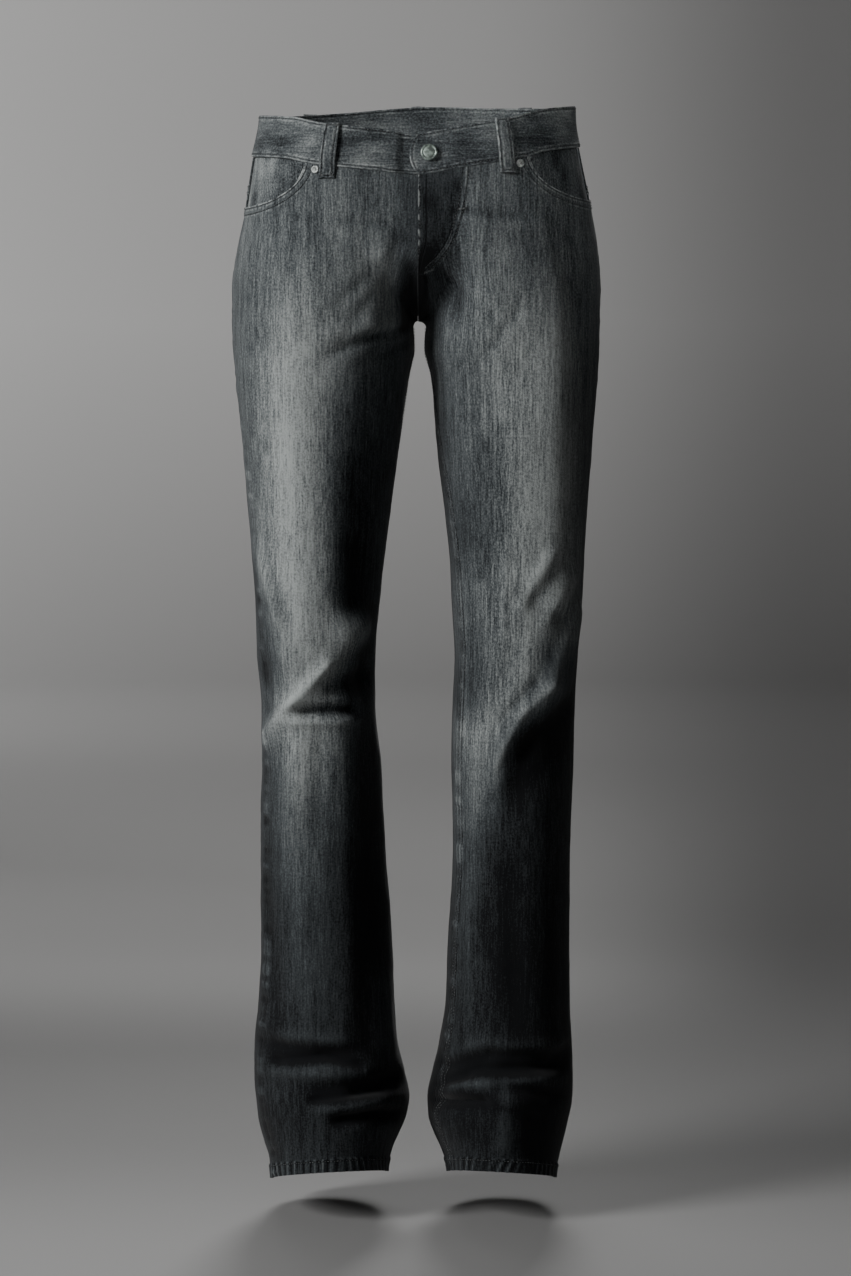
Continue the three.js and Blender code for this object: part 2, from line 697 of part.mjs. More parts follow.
// Sideways bend of a back panel's column, in cells, positive towards the inner seam.
function pocketBend(j, z) {
  const down = clamp((POCKET_TOP_Z - z) / (POCKET_TOP_Z - POCKET_FOOT_Z), 0, 1);
  const below = 1 - ease((POCKET_FOOT_Z - z) / 88);
  const amount = mix(-POCKET_WIDER, POCKET_TAPER, down) * below;
  if (j <= POCKET_OUTER) return (amount * j) / POCKET_OUTER;
  if (j >= POCKET_INNER) return (-amount * (PANEL_CELLS - j)) / (PANEL_CELLS - POCKET_INNER);
  return amount * (1 - (2 * (j - POCKET_OUTER)) / (POCKET_INNER - POCKET_OUTER));
}

// How far the panel row at the pocket's foot dips, by column.
function footDrop(j) {
  const middle = (POCKET_OUTER + POCKET_INNER) / 2;
  const half = (POCKET_INNER - POCKET_OUTER) / 2;
  return POCKET_FOOT_DROP * Math.max(0, 1 - Math.abs(j - middle) / half);
}

// Plain patch pocket on the seat, made from the back panel's own places.
function backPocket(side) {
  const footRow = TOP_CELLS + ROWS_BELOW.indexOf(POCKET_FOOT_Z);
  const places = panelPlaces(backTop(side))
    .slice(POCKET_TOP_ROW, footRow + 1)
    .map((row) => row.slice(POCKET_OUTER, POCKET_INNER + 1));
  return wallFromPlaces(places, () => POCKET_GAP + POCKET_THICK, () => POCKET_GAP);
}

const SHIELD_WIDTH = 46;
const SHIELD_ROWS = 5;
const SHIELD_COLUMNS = 5;
const SHIELD_GAP = 1;
const SHIELD_THICK = 1.4;
const SHIELD_TAPER = 0.45; // share of its width lost towards its foot

// Strip behind the closed fly, on the wearer's left of the centre seam.
function flyShield() {
  const rows = [];
  for (let i = 0; i <= SHIELD_ROWS; i += 1) {
    const down = i / SHIELD_ROWS;
    rows.push(
      Array.from({ length: SHIELD_COLUMNS + 1 }, (_, j) => {
        const width = SHIELD_WIDTH * (j / SHIELD_COLUMNS) * (1 - SHIELD_TAPER * down ** 3);
        const girth = (2 * width) / GIRTH;
        const top = bandSeamZ(girth) - 4;
        const z = mix(top, FLY_BOTTOM_Z + 8 * (j / SHIELD_COLUMNS), down);
        return { side: 1, half: "front", across: 1 - 2 * girth - 0.004, z };
      }),
    );
  }
  const out = -WALL - SHIELD_GAP;
  return wallFromPlaces(rows, () => out, () => out - SHIELD_THICK);
}

// Waistband

const BAND_LEVELS = [0, 0.14, 0.5, 0.86, 1]; // shares of its height, from the seam up
const BAND_SIDE_CELLS = 4; // stations between the pocket corner and the side seam
const UNDER_SHORT = 0.8; // the under end is this much lower at both edges
const DIP_START = -0.05; // girth shares where the under end starts and ends its dip
const DIP_END = -0.026;

// Rounded over end: girth share at which each level of the tab stops.
function tabEnd(level) {
  const round = 1 - (2 * level - 1) ** 2;
  return mix(0.012, TAB_OVER, Math.sqrt(round));
}

// Girth shares of the panel columns on one side, from near the centre front to the back.
function columnGirths(side) {
  const corner = cornerGirth(side);
  const count = PANEL_CELLS - MOUTH_CELLS;
  const girths = [];
  for (let k = 1; k <= count; k += 1) girths.push((corner * k) / count);
  for (let k = 1; k < BAND_SIDE_CELLS; k += 1) {
    girths.push(mix(corner, 0.5, k / BAND_SIDE_CELLS));
  }
  for (let k = 0; k <= PANEL_CELLS; k += 1) girths.push(0.5 + k / (2 * PANEL_CELLS));
  return girths;
}

// Girth stations from the over end, round the back, to the hidden under end.
function bandStations() {
  const right = columnGirths(-1)
    .filter((girth) => girth < 1 && girth > -DIP_START + 0.01)
    .map((girth) => 2 - girth)
    .reverse();
  const dip = [0, 0.35, 0.7, 1].map((share) => 2 + mix(DIP_START, DIP_END, share));
  const under = [-0.012, 0, 0.025, 0.05, 0.075, UNDER_END].map((girth) => 2 + girth);
  return [0.022, ...columnGirths(1), ...right, ...dip, ...under];
}

function bandColumn(station, levels, first) {
  const beyond = station - 2;
  const under = beyond > DIP_START - TINY;
  const dip = under ? BAND_UNDER * ease((beyond - DIP_START) / (DIP_END - DIP_START)) : 0;
  const short = under ? UNDER_SHORT * ease((beyond - DIP_START) / 0.02) : 0;
  return levels.map((level) => {
    const girth = first ? tabEnd(level) : beyond > -1 ? beyond : station;
    const share = Math.abs(girth);
    const seam = sewnSeamZ(girth < 0 ? -1 : 1, share) + short;
    const z = mix(seam, bandTopZ(girth) - short, level);
    return [girthPoint(girth, z, BAND_OUT - dip), girthPoint(girth, z, -BAND_IN - dip)];
  });
}

function waistband() {
  const stations = bandStations();
  const columns = [
    bandColumn(0, BAND_LEVELS, true),
    ...stations.map((s) => bandColumn(s, BAND_LEVELS, false)),
  ];
  const layer = (k) => columns.map((column) => column.map((pair) => pair[k]));
  return wall(layer(0), layer(1));
}

// Belt loops

// Path of a loop from its upper to its lower end: share of the way and lift.
const LOOP_COLUMNS = ["way", "lift", "thick"];
const LOOP_ROWS = [
  [0, 0, 1.25], [0.06, 0.05, 1.25], [0.1, 0.35, 1], [0.22, 0.9, 1], [0.42, 1, 1],
  [0.62, 0.85, 1], [0.8, 0.35, 1], [0.9, 0, 1.25], [1, 0, 1.25],
];

function beltLoop(girth) {
  const top = bandTopZ(girth) + 0.5;
  const seam = bandSeamZ(girth);
  const foot = seam - LOOP_BELOW;
  const layer = (k) =>
    LOOP_ROWS.map((row) => {
      const [way, lift, thick] = LOOP_COLUMNS.map((name, i) => row[i]);
      const z = mix(top, foot, way);
      const onPanel = ease((seam + 5 - z) / 8);
      const base = mix(BAND_OUT + 0.4, 0.5, onPanel);
      const out = base + LOOP_ARCH * lift + k * LOOP_THICK * thick;
      return [-0.5, 0, 0.5].map((place) => {
        return girthPoint(girth + (2 * place * LOOP_WIDTH) / GIRTH, z, out);
      });
    });
  return wall(layer(1), layer(0));
}

// Button and rivets

const BUTTON_PROFILE = [
  [0, 0], [2, 0], [2, 4.6], [6.6, 4.6], [BUTTON_RADIUS, 5.4], [BUTTON_RADIUS, 6.6],
  [7.4, 7.4], [6.2, 7.6], [5.6, 6.9], [3.2, 6.8], [1.6, 7.3], [0, 7.4],
];
const RIVET_PROFILE = [
  [0, 0], [RIVET_RADIUS, 0], [RIVET_RADIUS, 0.7], [3.3, 1.4], [2.2, 1.5], [1.6, 0.9],
  [1.2, 1.6], [0, 1.8],
];

// A turned piece whose axis follows the cloth's outward direction.
function turned(profile, segments) {
  const points = profile.map(([radius, along]) => new THREE.Vector2(radius, along));
  return new THREE.LatheGeometry(points, segments);
}

function placeOnCloth(mesh, x, z, out) {
  const girth = girthAtX(x, z, "front");
  const place = girthPlace(girth);
  const normal = bodyNormal(place.side, place.half, place.across, z);
  mesh.position.copy(girthPoint(girth, z, out));
  mesh.quaternion.setFromUnitVectors(new THREE.Vector3(0, 1, 0), normal);
  mesh.updateMatrix();
  return mesh;
}

// Cut shapes as library solids

function toManifold(geometry) {
  const p = geometry.getAttribute("position");
  return new wasm.Manifold(
    new wasm.Mesh({
      numProp: 3,
      vertProperties: new Float32Array(p.array),
      triVerts: new Uint32Array(geometry.getIndex().array),
    }),
  );
}

function fromManifold(solid) {
  const mesh = solid.getMesh();
  const count = mesh.numVert;
  const positions = new Float32Array(count * 3);
  for (let i = 0; i < count; i += 1) {
    positions.set(mesh.vertProperties.subarray(i * mesh.numProp, i * mesh.numProp + 3), i * 3);
  }
  const geometry = new THREE.BufferGeometry();
  geometry.setAttribute("position", new THREE.BufferAttribute(positions, 3));
  geometry.setIndex([...mesh.triVerts]);
  geometry.computeVertexNormals();
  return geometry;
}

// Buttonhole through the over end of the waistband, where the button's shank passes.
const HOLE_LENGTH = 18;
const HOLE_HEIGHT = 4.8;
const HOLE_DEPTH = 5;

function cutButtonhole(bandGeometry) {
  const box = new THREE.BoxGeometry(HOLE_LENGTH, HOLE_HEIGHT, HOLE_DEPTH).toNonIndexed();
  const girth = girthAtX(BUTTON_X, BUTTON_Z, "front");
  const place = girthPlace(girth);
  const normal = bodyNormal(place.side, place.half, place.across, BUTTON_Z);
  const turn = new THREE.Quaternion().setFromUnitVectors(new THREE.Vector3(0, 0, 1), normal);
  const centre = girthPoint(girth, BUTTON_Z, HOLE_DEPTH / 2 - BAND_IN - 0.15);
  centre.x += HOLE_LENGTH / 2 - 3;
  box.applyQuaternion(turn).translate(centre.x, centre.y, centre.z);
  const welded = new THREE.BufferGeometry();
  const corners = [];
  const index = [];
  const p = box.getAttribute("position");
  for (let i = 0; i < p.count; i += 1) {
    const corner = new THREE.Vector3().fromBufferAttribute(p, i);
    let found = corners.findIndex((known) => known.distanceTo(corner) < 1e-3);
    if (found < 0) found = corners.push(corner) - 1;
    index.push(found);
  }
  welded.setAttribute(
    "position",
    new THREE.Float32BufferAttribute(corners.flatMap((c) => [c.x, c.y, c.z]), 3),
  );
  welded.setIndex(index);
  return fromManifold(toManifold(bandGeometry).subtract(toManifold(welded)));
}

// Materials

const denim = (color) => new THREE.MeshStandardMaterial({ color, roughness: 0.92, metalness: 0 });
const MATERIALS = {
  front: denim(0x3b3f43),
  back: denim(0x33363a),
  trim: denim(0x2c2f33),
  dark: denim(0x23262a),
  metal: new THREE.MeshStandardMaterial({ color: 0x8f9a90, roughness: 0.4, metalness: 0.9 }),
};

function named(name, geometry, material) {
  const mesh = new THREE.Mesh(geometry, material.clone());
  mesh.name = name;
  return mesh;
}

// Assembly

const jeans = new THREE.Group();
jeans.name = "jeans";

const SIDES = [
  ["left", 1],
  ["right", -1],
];

const FRONT_LOOP_GIRTH = 0.191;
const BACK_LOOP_GIRTH = 0.74;

for (const [word, side] of SIDES) {
  const group = new THREE.Group();
  group.name = word + "_half";
  group.add(
    named("front_" + word, panel(side, "front"), MATERIALS.front),
    named("back_" + word, panel(side, "back"), MATERIALS.back),
    named("yoke_" + word, yoke(side), MATERIALS.back),
    named("pocket_facing_" + word, facing(side), MATERIALS.dark),
    named("back_pocket_" + word, backPocket(side), MATERIALS.back),
    named("belt_loop_front_" + word, beltLoop(side * FRONT_LOOP_GIRTH), MATERIALS.trim),
    named("belt_loop_back_" + word, beltLoop(side * BACK_LOOP_GIRTH), MATERIALS.trim),
  );
  const rivet = named("rivet_" + word, turned(RIVET_PROFILE, 14), MATERIALS.metal);
  const rivetZ = bandSeamZ(girthAtX(side * RIVET_X, SEAM_NEAR_Z, "front")) - RIVET_BELOW;
  group.add(placeOnCloth(rivet, side * RIVET_X, rivetZ, 0.35));
  jeans.add(group);
}

const closure = new THREE.Group();
closure.name = "closure";
closure.add(
  named("waistband", cutButtonhole(waistband()), MATERIALS.trim),
  named("belt_loop_centre_back", beltLoop(1), MATERIALS.trim),
  named("fly_shield", flyShield(), MATERIALS.dark),
);
const button = named("button", turned(BUTTON_PROFILE, 22), MATERIALS.metal);
closure.add(placeOnCloth(button, BUTTON_X, BUTTON_Z, BAND_OUT - BAND_UNDER + 0.3));
jeans.add(closure);

export default jeans;
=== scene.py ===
import math
import bpy
import numpy as np
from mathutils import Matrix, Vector


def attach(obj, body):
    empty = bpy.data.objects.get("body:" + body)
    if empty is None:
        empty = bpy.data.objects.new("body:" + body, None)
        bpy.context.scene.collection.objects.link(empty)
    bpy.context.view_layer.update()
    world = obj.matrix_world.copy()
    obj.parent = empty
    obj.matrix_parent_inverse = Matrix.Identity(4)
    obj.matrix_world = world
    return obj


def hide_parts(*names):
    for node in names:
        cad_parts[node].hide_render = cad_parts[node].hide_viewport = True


# Straight leg jeans, worn form. Sizes are in millimetres up to the meshes, which are in metres.
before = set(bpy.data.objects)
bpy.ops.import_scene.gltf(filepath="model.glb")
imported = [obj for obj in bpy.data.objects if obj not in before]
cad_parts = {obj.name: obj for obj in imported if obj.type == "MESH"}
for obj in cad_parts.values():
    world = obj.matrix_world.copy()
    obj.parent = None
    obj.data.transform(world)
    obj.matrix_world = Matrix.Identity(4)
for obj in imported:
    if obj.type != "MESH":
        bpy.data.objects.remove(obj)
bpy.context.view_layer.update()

# Cloth sizes, the same as the solids have
WALL = 1.4
HALF_SEAM = 0.15
CROTCH_Z = -199.0
CROTCH_Y = 12.0
HEM_Z = -1062.0
FORK_ROUND = 7.0
FRONT_RISE_BEND_Z = -112.0
BACK_RISE_BEND_Z = -118.0
SUPER = 2.2
WEB_SOFT = 9.0
END_TURN = 1.1
TORSO_BLEND = 75.0
BAND_HEIGHT = 40.2
WAIST_LEAN = 4.6
GIRTH = 860.0
SEAM_NEAR_Z = -40.0
BAND_OUT = 1.6
BAND_IN = 1.4
BAND_UNDER = 3.4
TAB_OVER = -0.018
UNDER_END = 0.1
MOUTH_X = 110.0
MOUTH_SIDE_Z = -84.0
MOUTH_LEAN = 3.5
MOUTH_NEAR_Z = -60.0
SIDE_HALF_WIDTH = 172.0
HEM_BAND = 14.0
HEM_RISE = 0.9
FLY_RISE = 0.8
HIP_ROW_Z = -150.0
YOKE_SIDE_Z = -74.0
YOKE_CENTRE_Z = -108.0
BUTTON_X, BUTTON_Z = 11.0, -37.3
# Distances of the stitch rows from their edges
EDGE_STITCHES, INSEAM_STITCHES, FLY_STITCHES = (2.0, 8.0), (2.2, 8.4), (0.0, 5.6)
CENTRE_BACK_STITCHES, POCKET_TOP_STITCHES = (2.2, 7.6), (2.0, 12.0)
BAND_STITCH, HEM_STITCH = 2.2, 11.6
RIVET_X, RIVET_BELOW = 99.0, 5.4

WIDTH_COLUMNS = ["z", "outL", "inL", "outR", "inR"]
WIDTHS = [
    [40, 154, 8, 155, 4], [0, 155, 8, 156, 4], [-40, 162, 8, 164, 4], [-82, 170.8, 8, 170.5, 4],
    [-94, 173, 8, 172.3, 4], [-127, 178.4, 8, 179.3, 4], [-165, 181.6, 8, 184.6, 4],
    [-202, 181, 8, 184.9, 4.5], [-227, 180.2, 7, 184, 4], [-252, 179.2, 13, 182, 9],
    [-327, 173.2, 19.5, 174.6, 19], [-427, 166.4, 30.6, 166.3, 32.2],
    [-477, 163.7, 33.6, 162.2, 38.2], [-527, 159.9, 36.6, 161.2, 42.2],
    [-577, 156.9, 34.8, 157.2, 43.2], [-637, 155.8, 33.4, 156.4, 37.6],
    [-727, 153.2, 35, 158.4, 33], [-827, 152.6, 29.8, 158.1, 25.8],
    [-880, 153.2, 28.2, 161.1, 24.2], [-927, 155.4, 21.4, 165.1, 20.4],
    [-957, 157, 14.6, 165.4, 13.4], [-985, 155.2, 9.4, 163.4, 9], [-1004, 151.4, 10.2, 161, 11.6],
    [-1024, 147, 16.4, 155.6, 19.6], [-1040, 143, 24, 151, 26.6], [-1062, 139.6, 30, 148.6, 31.4],
]
DEPTH_COLUMNS = ["z", "frontY", "frontAt", "midFrontY", "sideY", "backY", "backAt",
                 "midBackY", "twist"]
DEPTHS = [
    [40, -94, 0.2, -94, 2, 98, 0.2, 98, 0], [0, -98, 0.22, -98, 2, 103, 0.24, 103, 0],
    [-60, -106, 0.27, -106, 3, 113, 0.34, 109, 0], [-112, -109, 0.33, -108, 4, 122, 0.4, 112, 0],
    [-150, -108, 0.4, -107, 5, 126, 0.43, 114, 0], [-199, -105, 0.47, -104, 7, 114, 0.46, 108, 0],
    [-235, -101, 0.49, -100, 7, 99, 0.48, 98, 1], [-277, -98, 0.5, -98, 6, 89, 0.5, 88, 9],
    [-377, -92, 0.5, -92, 4, 82, 0.5, 82, 24], [-477, -86, 0.5, -86, 2, 76, 0.5, 76, 28],
    [-580, -81, 0.5, -81, 1, 71, 0.5, 71, 28], [-640, -76, 0.5, -76, 4, 74, 0.5, 74, 28],
    [-720, -68, 0.5, -68, 9, 80, 0.5, 80, 28], [-850, -62, 0.5, -62, 12, 84, 0.5, 84, 27],
    [-950, -64, 0.5, -64, 14, 90, 0.5, 90, 26], [-985, -73, 0.5, -73, 14, 92, 0.5, 92, 26],
    [-1062, -66, 0.5, -66, 16, 98, 0.5, 98, 26],
]
BAND_TOP_COLUMNS = ["girth", "z"]
BAND_TOPS = [
    [0, -17.9], [0.09, -12.4], [0.16, -8.4], [0.21, -5.4], [0.25, -1.9], [0.29, 2.1], [0.4, 6.1],
    [0.5, 8.1], [0.65, 9.8], [0.8, 13], [1, 17],
]

# Large folds, the same as in the solids, as face, x1, z1, x2, z2, width, depth and fade.
# Face is -1 in front and 1 behind, and ridges have a depth above 0
FOLDS = [
    [-1, -152, -442, -128, -527, 12, 3.5, 26], [-1, -92, -542, -124, -580, 11, 4, 18],
    [-1, -124, -580, -150, -612, 12, 3.6, 20], [-1, -116, -582, -72, -584, 8, -4, 14],
    [-1, -58, -500, -66, -512, 12, 4, 14], [-1, -132, -919, -84, -923, 10, -6.5, 20],
    [-1, -94, -968, -34, -960, 10, -6, 14], [-1, -72, -1004, -40, -998, 8, -4.5, 12],
    [-1, -126, -944, -66, -941, 9, 3.5, 20], [-1, 112, -470, 134, -486, 8, -4, 12],
    [-1, 164, -500, 131, -564, 12, 4, 24], [-1, 131, -564, 88, -611, 12, 4.2, 20],
    [-1, 88, -611, 79, -646, 9, 3.5, 16], [-1, 142, -612, 116, -650, 14, -3.5, 20],
    [-1, 24, -945, 70, -928, 10, -6, 14], [-1, 70, -928, 136, -932, 10, -6, 18],
    [-1, 20, -984, 62, -981, 9, -5, 12], [-1, 40, -962, 120, -956, 9, 3.5, 18],
    [-1, 48, -92, 92, -98, 7, -2, 16], [-1, -18, -122, -34, -196, 9, -3, 22],
    [-1, 20, -150, 36, -186, 9, -3, 18], [1, -140, -520, -70, -560, 13, -5, 24],
    [1, -136, -580, -64, -610, 12, -5, 24], [1, -128, -548, -76, -586, 10, 4, 22],
    [1, 138, -512, 66, -548, 13, -5, 24], [1, 132, -574, 62, -604, 12, -5, 24],
    [1, 126, -542, 74, -576, 10, 4, 22], [1, -150, -214, -44, -236, 14, -5, 26],
    [1, 150, -210, 44, -234, 14, -5, 26], [1, -140, -262, -60, -286, 12, -3, 26],
    [1, 140, -258, 60, -280, 12, -3, 26], [1, -140, -900, -60, -930, 13, -4.5, 24],
    [1, 132, -904, 54, -930, 13, -4.5, 24], [1, -132, -968, -56, -984, 12, -4.5, 22],
    [1, 128, -966, 50, -984, 12, -4.5, 22],
]
# Finer creases that only the looks need
CREASES = [
    # broad planes of the thighs
    [-1, -120, -250, -116, -480, 24, 4, 60], [-1, -56, -345, -60, -450, 20, -3.5, 40],
    [-1, 138, -235, 142, -470, 20, 6, 60], [-1, 72, -290, 74, -560, 24, -3.5, 60],
    [-1, -116, -650, -112, -850, 24, 3, 60], [-1, -52, -640, -50, -860, 18, -4, 60],
    [-1, 34, -84, 32, -176, 15, -4.5, 20], [-1, -6, -150, -8, -196, 9, -3, 12],
    [-1, -32, -138, -34, -206, 20, 6, 14],
    # fork and hips
    [-1, -15, -208, -44, -214, 5, -3, 8], [-1, -44, -214, -71, -226, 5, -2.2, 16],
    [-1, -10, -219, -30, -231, 4, -1.8, 8], [-1, -40, -202, -84, -212, 9, 2, 20],
    [-1, -20, -128, -70, -176, 4, -1.2, 18], [-1, -30, -150, -66, -206, 4, -1, 16],
    [-1, 24, -132, 62, -164, 5, -1.4, 14], [-1, 24, -158, 70, -196, 5, -1.4, 16],
    [-1, 40, -93, 100, -99, 3.5, -1.5, 12], [-1, 46, -101, 96, -108, 4, 1, 12],
    [-1, -112, -100, -38, -106, 4.5, -1.2, 14], [-1, -150, -104, -128, -116, 4, -1.6, 12],
    [-1, 128, -98, 150, -122, 5, -1.6, 14], [-1, 136, -130, 152, -186, 6, -1.2, 20],
    [-1, -132, -160, -120, -200, 7, 1, 24], [-1, 92, -196, 70, -226, 6, -1.4, 16],
    # wearer's right knee
    [-1, -148, -444, -135, -490, 3.5, 2.8, 12], [-1, -140, -440, -126, -486, 5, -1.2, 12],
    [-1, -90, -536, -124, -575, 4.5, 3, 6], [-1, -124, -575, -147, -603, 4.5, 2, 10],
    [-1, -112, -580, -66, -580, 5, -6, 5], [-1, -80, -556, -52, -552, 12, -7, 12],
    [-1, -118, -591, -64, -592, 5, 3.2, 8], [-1, -42, -484, -40, -516, 7, -4, 10],
    [-1, -72, -500, -60, -500, 16, 5, 12],
    [-1, -62, -424, -60, -470, 11, -4, 14], [-1, -50, -530, -46, -560, 12, -5, 16],
    [-1, -152, -540, -150, -580, 7, -2.4, 14], [-1, -118, -610, -126, -700, 9, 1.8, 34],
    [-1, -70, -610, -66, -690, 10, 2, 30], [-1, -96, -620, -98, -680, 8, -1.5, 30],
    # wearer's left knee
    [-1, 86, -429, 84, -494, 3, 1.2, 12], [-1, 139, -436, 122, -466, 6, -1.8, 16],
    [-1, 127, -430, 104, -474, 6, 2.4, 12], [-1, 150, -448, 128, -488, 6, 2.4, 10],
    [-1, 155, -486, 127, -555, 7, 4, 10], [-1, 127, -555, 100, -585, 5, 3, 6],
    [-1, 100, -585, 80, -628, 5, 2.6, 16], [-1, 116, -556, 86, -588, 6, -2.2, 10],
    [-1, 143, -584, 108, -616, 13, -4, 14], [-1, 108, -616, 96, -660, 12, -3, 20],
    [-1, 62, -606, 58, -700, 7, 1.4, 30], [-1, 92, -520, 86, -548, 8, -1.6, 14],
    # shins and hems
    [-1, -140, -935, -98, -930, 6, -7, 8], [-1, -84, -931, -60, -939, 6, -6, 9],
    [-1, -130, -910, -80, -913, 8, 3.5, 14], [-1, -120, -950, -54, -954, 7, 2.5, 12],
    [-1, -104, -979, -34, -968, 5.5, -5, 6], [-1, -56, -967, -16, -963, 11, -5, 10],
    [-1, -92, -991, -40, -987, 6, 2.2, 8], [-1, -76, -1005, -24, -1001, 7, -5.5, 8],
    [-1, -34, -862, -30, -915, 14, 4, 20],
    [-1, -146, -800, -142, -870, 8, -1.4, 30], [-1, -70, -760, -64, -860, 12, 1.6, 40],
    [-1, 18, -968, 46, -952, 6.5, -7, 10], [-1, 64, -944, 136, -943, 7, -8, 12],
    [-1, 67, -928, 73, -928, 10, 5.5, 14], [-1, 34, -932, 62, -916, 8, 2.5, 12],
    [-1, 80, -916, 136, -920, 8, 3, 14], [-1, 32, -966, 100, -957, 6, 2, 10],
    [-1, 12, -985, 64, -981, 7, -5.5, 6], [-1, 90, -975, 86, -1035, 9, 2.5, 12],
    [-1, 124, -978, 118, -1035, 15, -3.5, 14],
    [-1, 90, -962, 136, -972, 7, -2.4, 14], [-1, 84, -990, 130, -1006, 7, -1.6, 14],
    [-1, 52, -760, 46, -860, 10, 1.6, 40], [-1, 92, -760, 96, -880, 12, -1.8, 40],
    # behind the knees, seat and heels
    [1, -146, -540, -90, -574, 5, -2.4, 16], [1, 142, -532, 88, -562, 5, -2.4, 16],
    [1, -120, -600, -70, -630, 5, -2, 14], [1, 118, -594, 66, -622, 5, -2, 14],
    [1, -112, -502, -60, -530, 6, -1.8, 16], [1, 110, -494, 56, -520, 6, -1.8, 16],
    [1, -30, -150, -90, -196, 6, -1.8, 18], [1, 30, -150, 90, -196, 6, -1.8, 18],
    [1, -24, -176, -64, -226, 5, -1.6, 16], [1, 24, -172, 60, -224, 5, -1.6, 16],
    [1, -124, -640, -132, -760, 10, 1.6, 40], [1, 64, -640, 60, -760, 10, 1.6, 40],
    [1, -128, -914, -72, -938, 5, -2.4, 12], [1, 122, -918, 66, -942, 5, -2.4, 12],
    [1, -120, -984, -70, -1000, 6, -2, 14], [1, 116, -988, 64, -1002, 6, -2, 14],
]
WORDS = {1: "left", -1: "right"}
rng = np.random.default_rng(7)


# Number helpers

def mix(a, b, share):
    return a + (b - a) * share


def ease(value):
    t = np.clip(value, 0.0, 1.0)
    return t * t * (3 - 2 * t)


def look_up(rows, columns, name, key):
    """Smooth value of a named column, without overshoot between the rows."""
    rows = sorted(rows, key=lambda row: row[0])
    x = np.array([row[0] for row in rows], float)
    y = np.array([row[columns.index(name)] for row in rows], float)
    span = np.diff(x)
    rise = np.diff(y) / span
    slope = np.zeros_like(x)
    before, after = rise[:-1], rise[1:]
    same = before * after > 0
    slope[1:-1] = np.where(same, 2 * before * after / np.where(same, before + after, 1), 0)
    key = np.clip(key, x[0], x[-1])
    i = np.clip(np.searchsorted(x, key, side="right") - 1, 0, len(x) - 2)
    t = (key - x[i]) / span[i]
    t2, t3 = t * t, t * t * t
    ends = (2 * t3 - 3 * t2 + 1) * y[i] + (3 * t2 - 2 * t3) * y[i + 1]
    return ends + span[i] * ((t3 - 2 * t2 + t) * slope[i] + (t3 - t2) * slope[i + 1])


class Waves:
    """Smooth random values over one or two coordinates, the same on each run."""

    size = 256

    def __init__(self):
        self.grid = rng.uniform(-1, 1, (self.size, self.size))

    def at(self, u, v):
        i, j = np.floor(u).astype(int), np.floor(v).astype(int)
        fu, fv = ease(u - i), ease(v - j)
        g = lambda a, b: self.grid[a % self.size, b % self.size]
        low = mix(g(i, j), g(i + 1, j), fu)
        high = mix(g(i, j + 1), g(i + 1, j + 1), fu)
        return mix(low, high, fv)


WAVES = Waves()

# Body surface: rings of the worn form, resampled for each panel

RING_STEPS = 180
LEVELS = np.unique(np.concatenate([
    np.arange(-1076, 46, 2.0), np.arange(-214, -186, 0.5), [CROTCH_Z]]))
ACROSS_STEPS = 360


def sections(side, z):
    leg = "L" if side > 0 else "R"
    width = lambda name: look_up(WIDTHS, WIDTH_COLUMNS, name + leg, z)
    depth = lambda name: look_up(DEPTHS, DEPTH_COLUMNS, name, z)
    below = CROTCH_Z - z
    share = np.clip(below / FORK_ROUND, 0, 1)
    apart = np.where(below <= 0, 0, np.sqrt(1 - (1 - share) ** 2))

    def rise(bend):
        return np.sqrt(1 - np.clip((bend - z) / (bend - CROTCH_Z), 0, 1) ** 2)

    in_y = np.where(below > 0, mix(CROTCH_Y, depth("sideY") + 4, ease(below / 60)), CROTCH_Y)
    s = dict(outX=width("out"), inX=width("in"), endX=width("in") * apart, inY=in_y,
             sideY=depth("sideY"), frontY=depth("frontY"), backY=depth("backY"))
    s["frontX"] = mix(s["inX"], s["outX"], depth("frontAt"))
    s["backX"] = mix(s["inX"], s["outX"], depth("backAt"))
    s["webFrontY"] = in_y + (depth("midFrontY") - in_y) * rise(FRONT_RISE_BEND_Z)
    s["webBackY"] = in_y + (depth("midBackY") - in_y) * rise(BACK_RISE_BEND_Z)
    s["webSoft"] = WEB_SOFT * np.minimum(1, 3 * rise(FRONT_RISE_BEND_Z))
    return {key: value[:, None] for key, value in s.items()}


def soft_max(a, b, soft):
    h = np.maximum(0, soft - np.abs(a - b)) / np.maximum(soft, 1e-9)
    return np.maximum(a, b) + h * h * soft / 4


def half_rings(side, z):
    """Points of the front and back halves of every ring, and the legs' own points."""
    s = sections(side, z)
    power = 2 / SUPER
    outer = np.radians(np.linspace(0, 90, RING_STEPS // 2 + 1))
    inner = outer[1:]

    def half(bulge_x, bulge_y, web_y, sign):
        across, along = np.cos(outer).clip(0) ** power, np.sin(outer) ** power
        x0, y0 = mix(bulge_x, s["outX"], across), mix(s["sideY"], bulge_y, along)
        across, along = np.sin(inner) ** power, np.cos(inner).clip(0) ** power
        ending = ease((inner - END_TURN) / (math.pi / 2 - END_TURN))
        x1 = mix(bulge_x, s["inX"], across) - (s["inX"] - s["endX"]) * ending
        y1 = mix(s["inY"], bulge_y, along)
        soft = s["webSoft"] * ease(np.degrees(inner) / 25)
        y2 = sign * soft_max(sign * y1, sign * web_y, soft)
        leg = np.stack([np.hstack([x0, x1]), np.hstack([y0, y1])], -1)
        ring = np.stack([np.hstack([x0, x1]), np.hstack([y0, y2])], -1)
        return leg, ring

    front = half(s["frontX"], s["frontY"], s["webFrontY"], -1)
    back = half(s["backX"], s["backY"], s["webBackY"], 1)
    legs = np.concatenate([front[0], back[0][:, ::-1]], 1)
    rings = np.concatenate([front[1], back[1][:, ::-1]], 1)
    return legs, rings


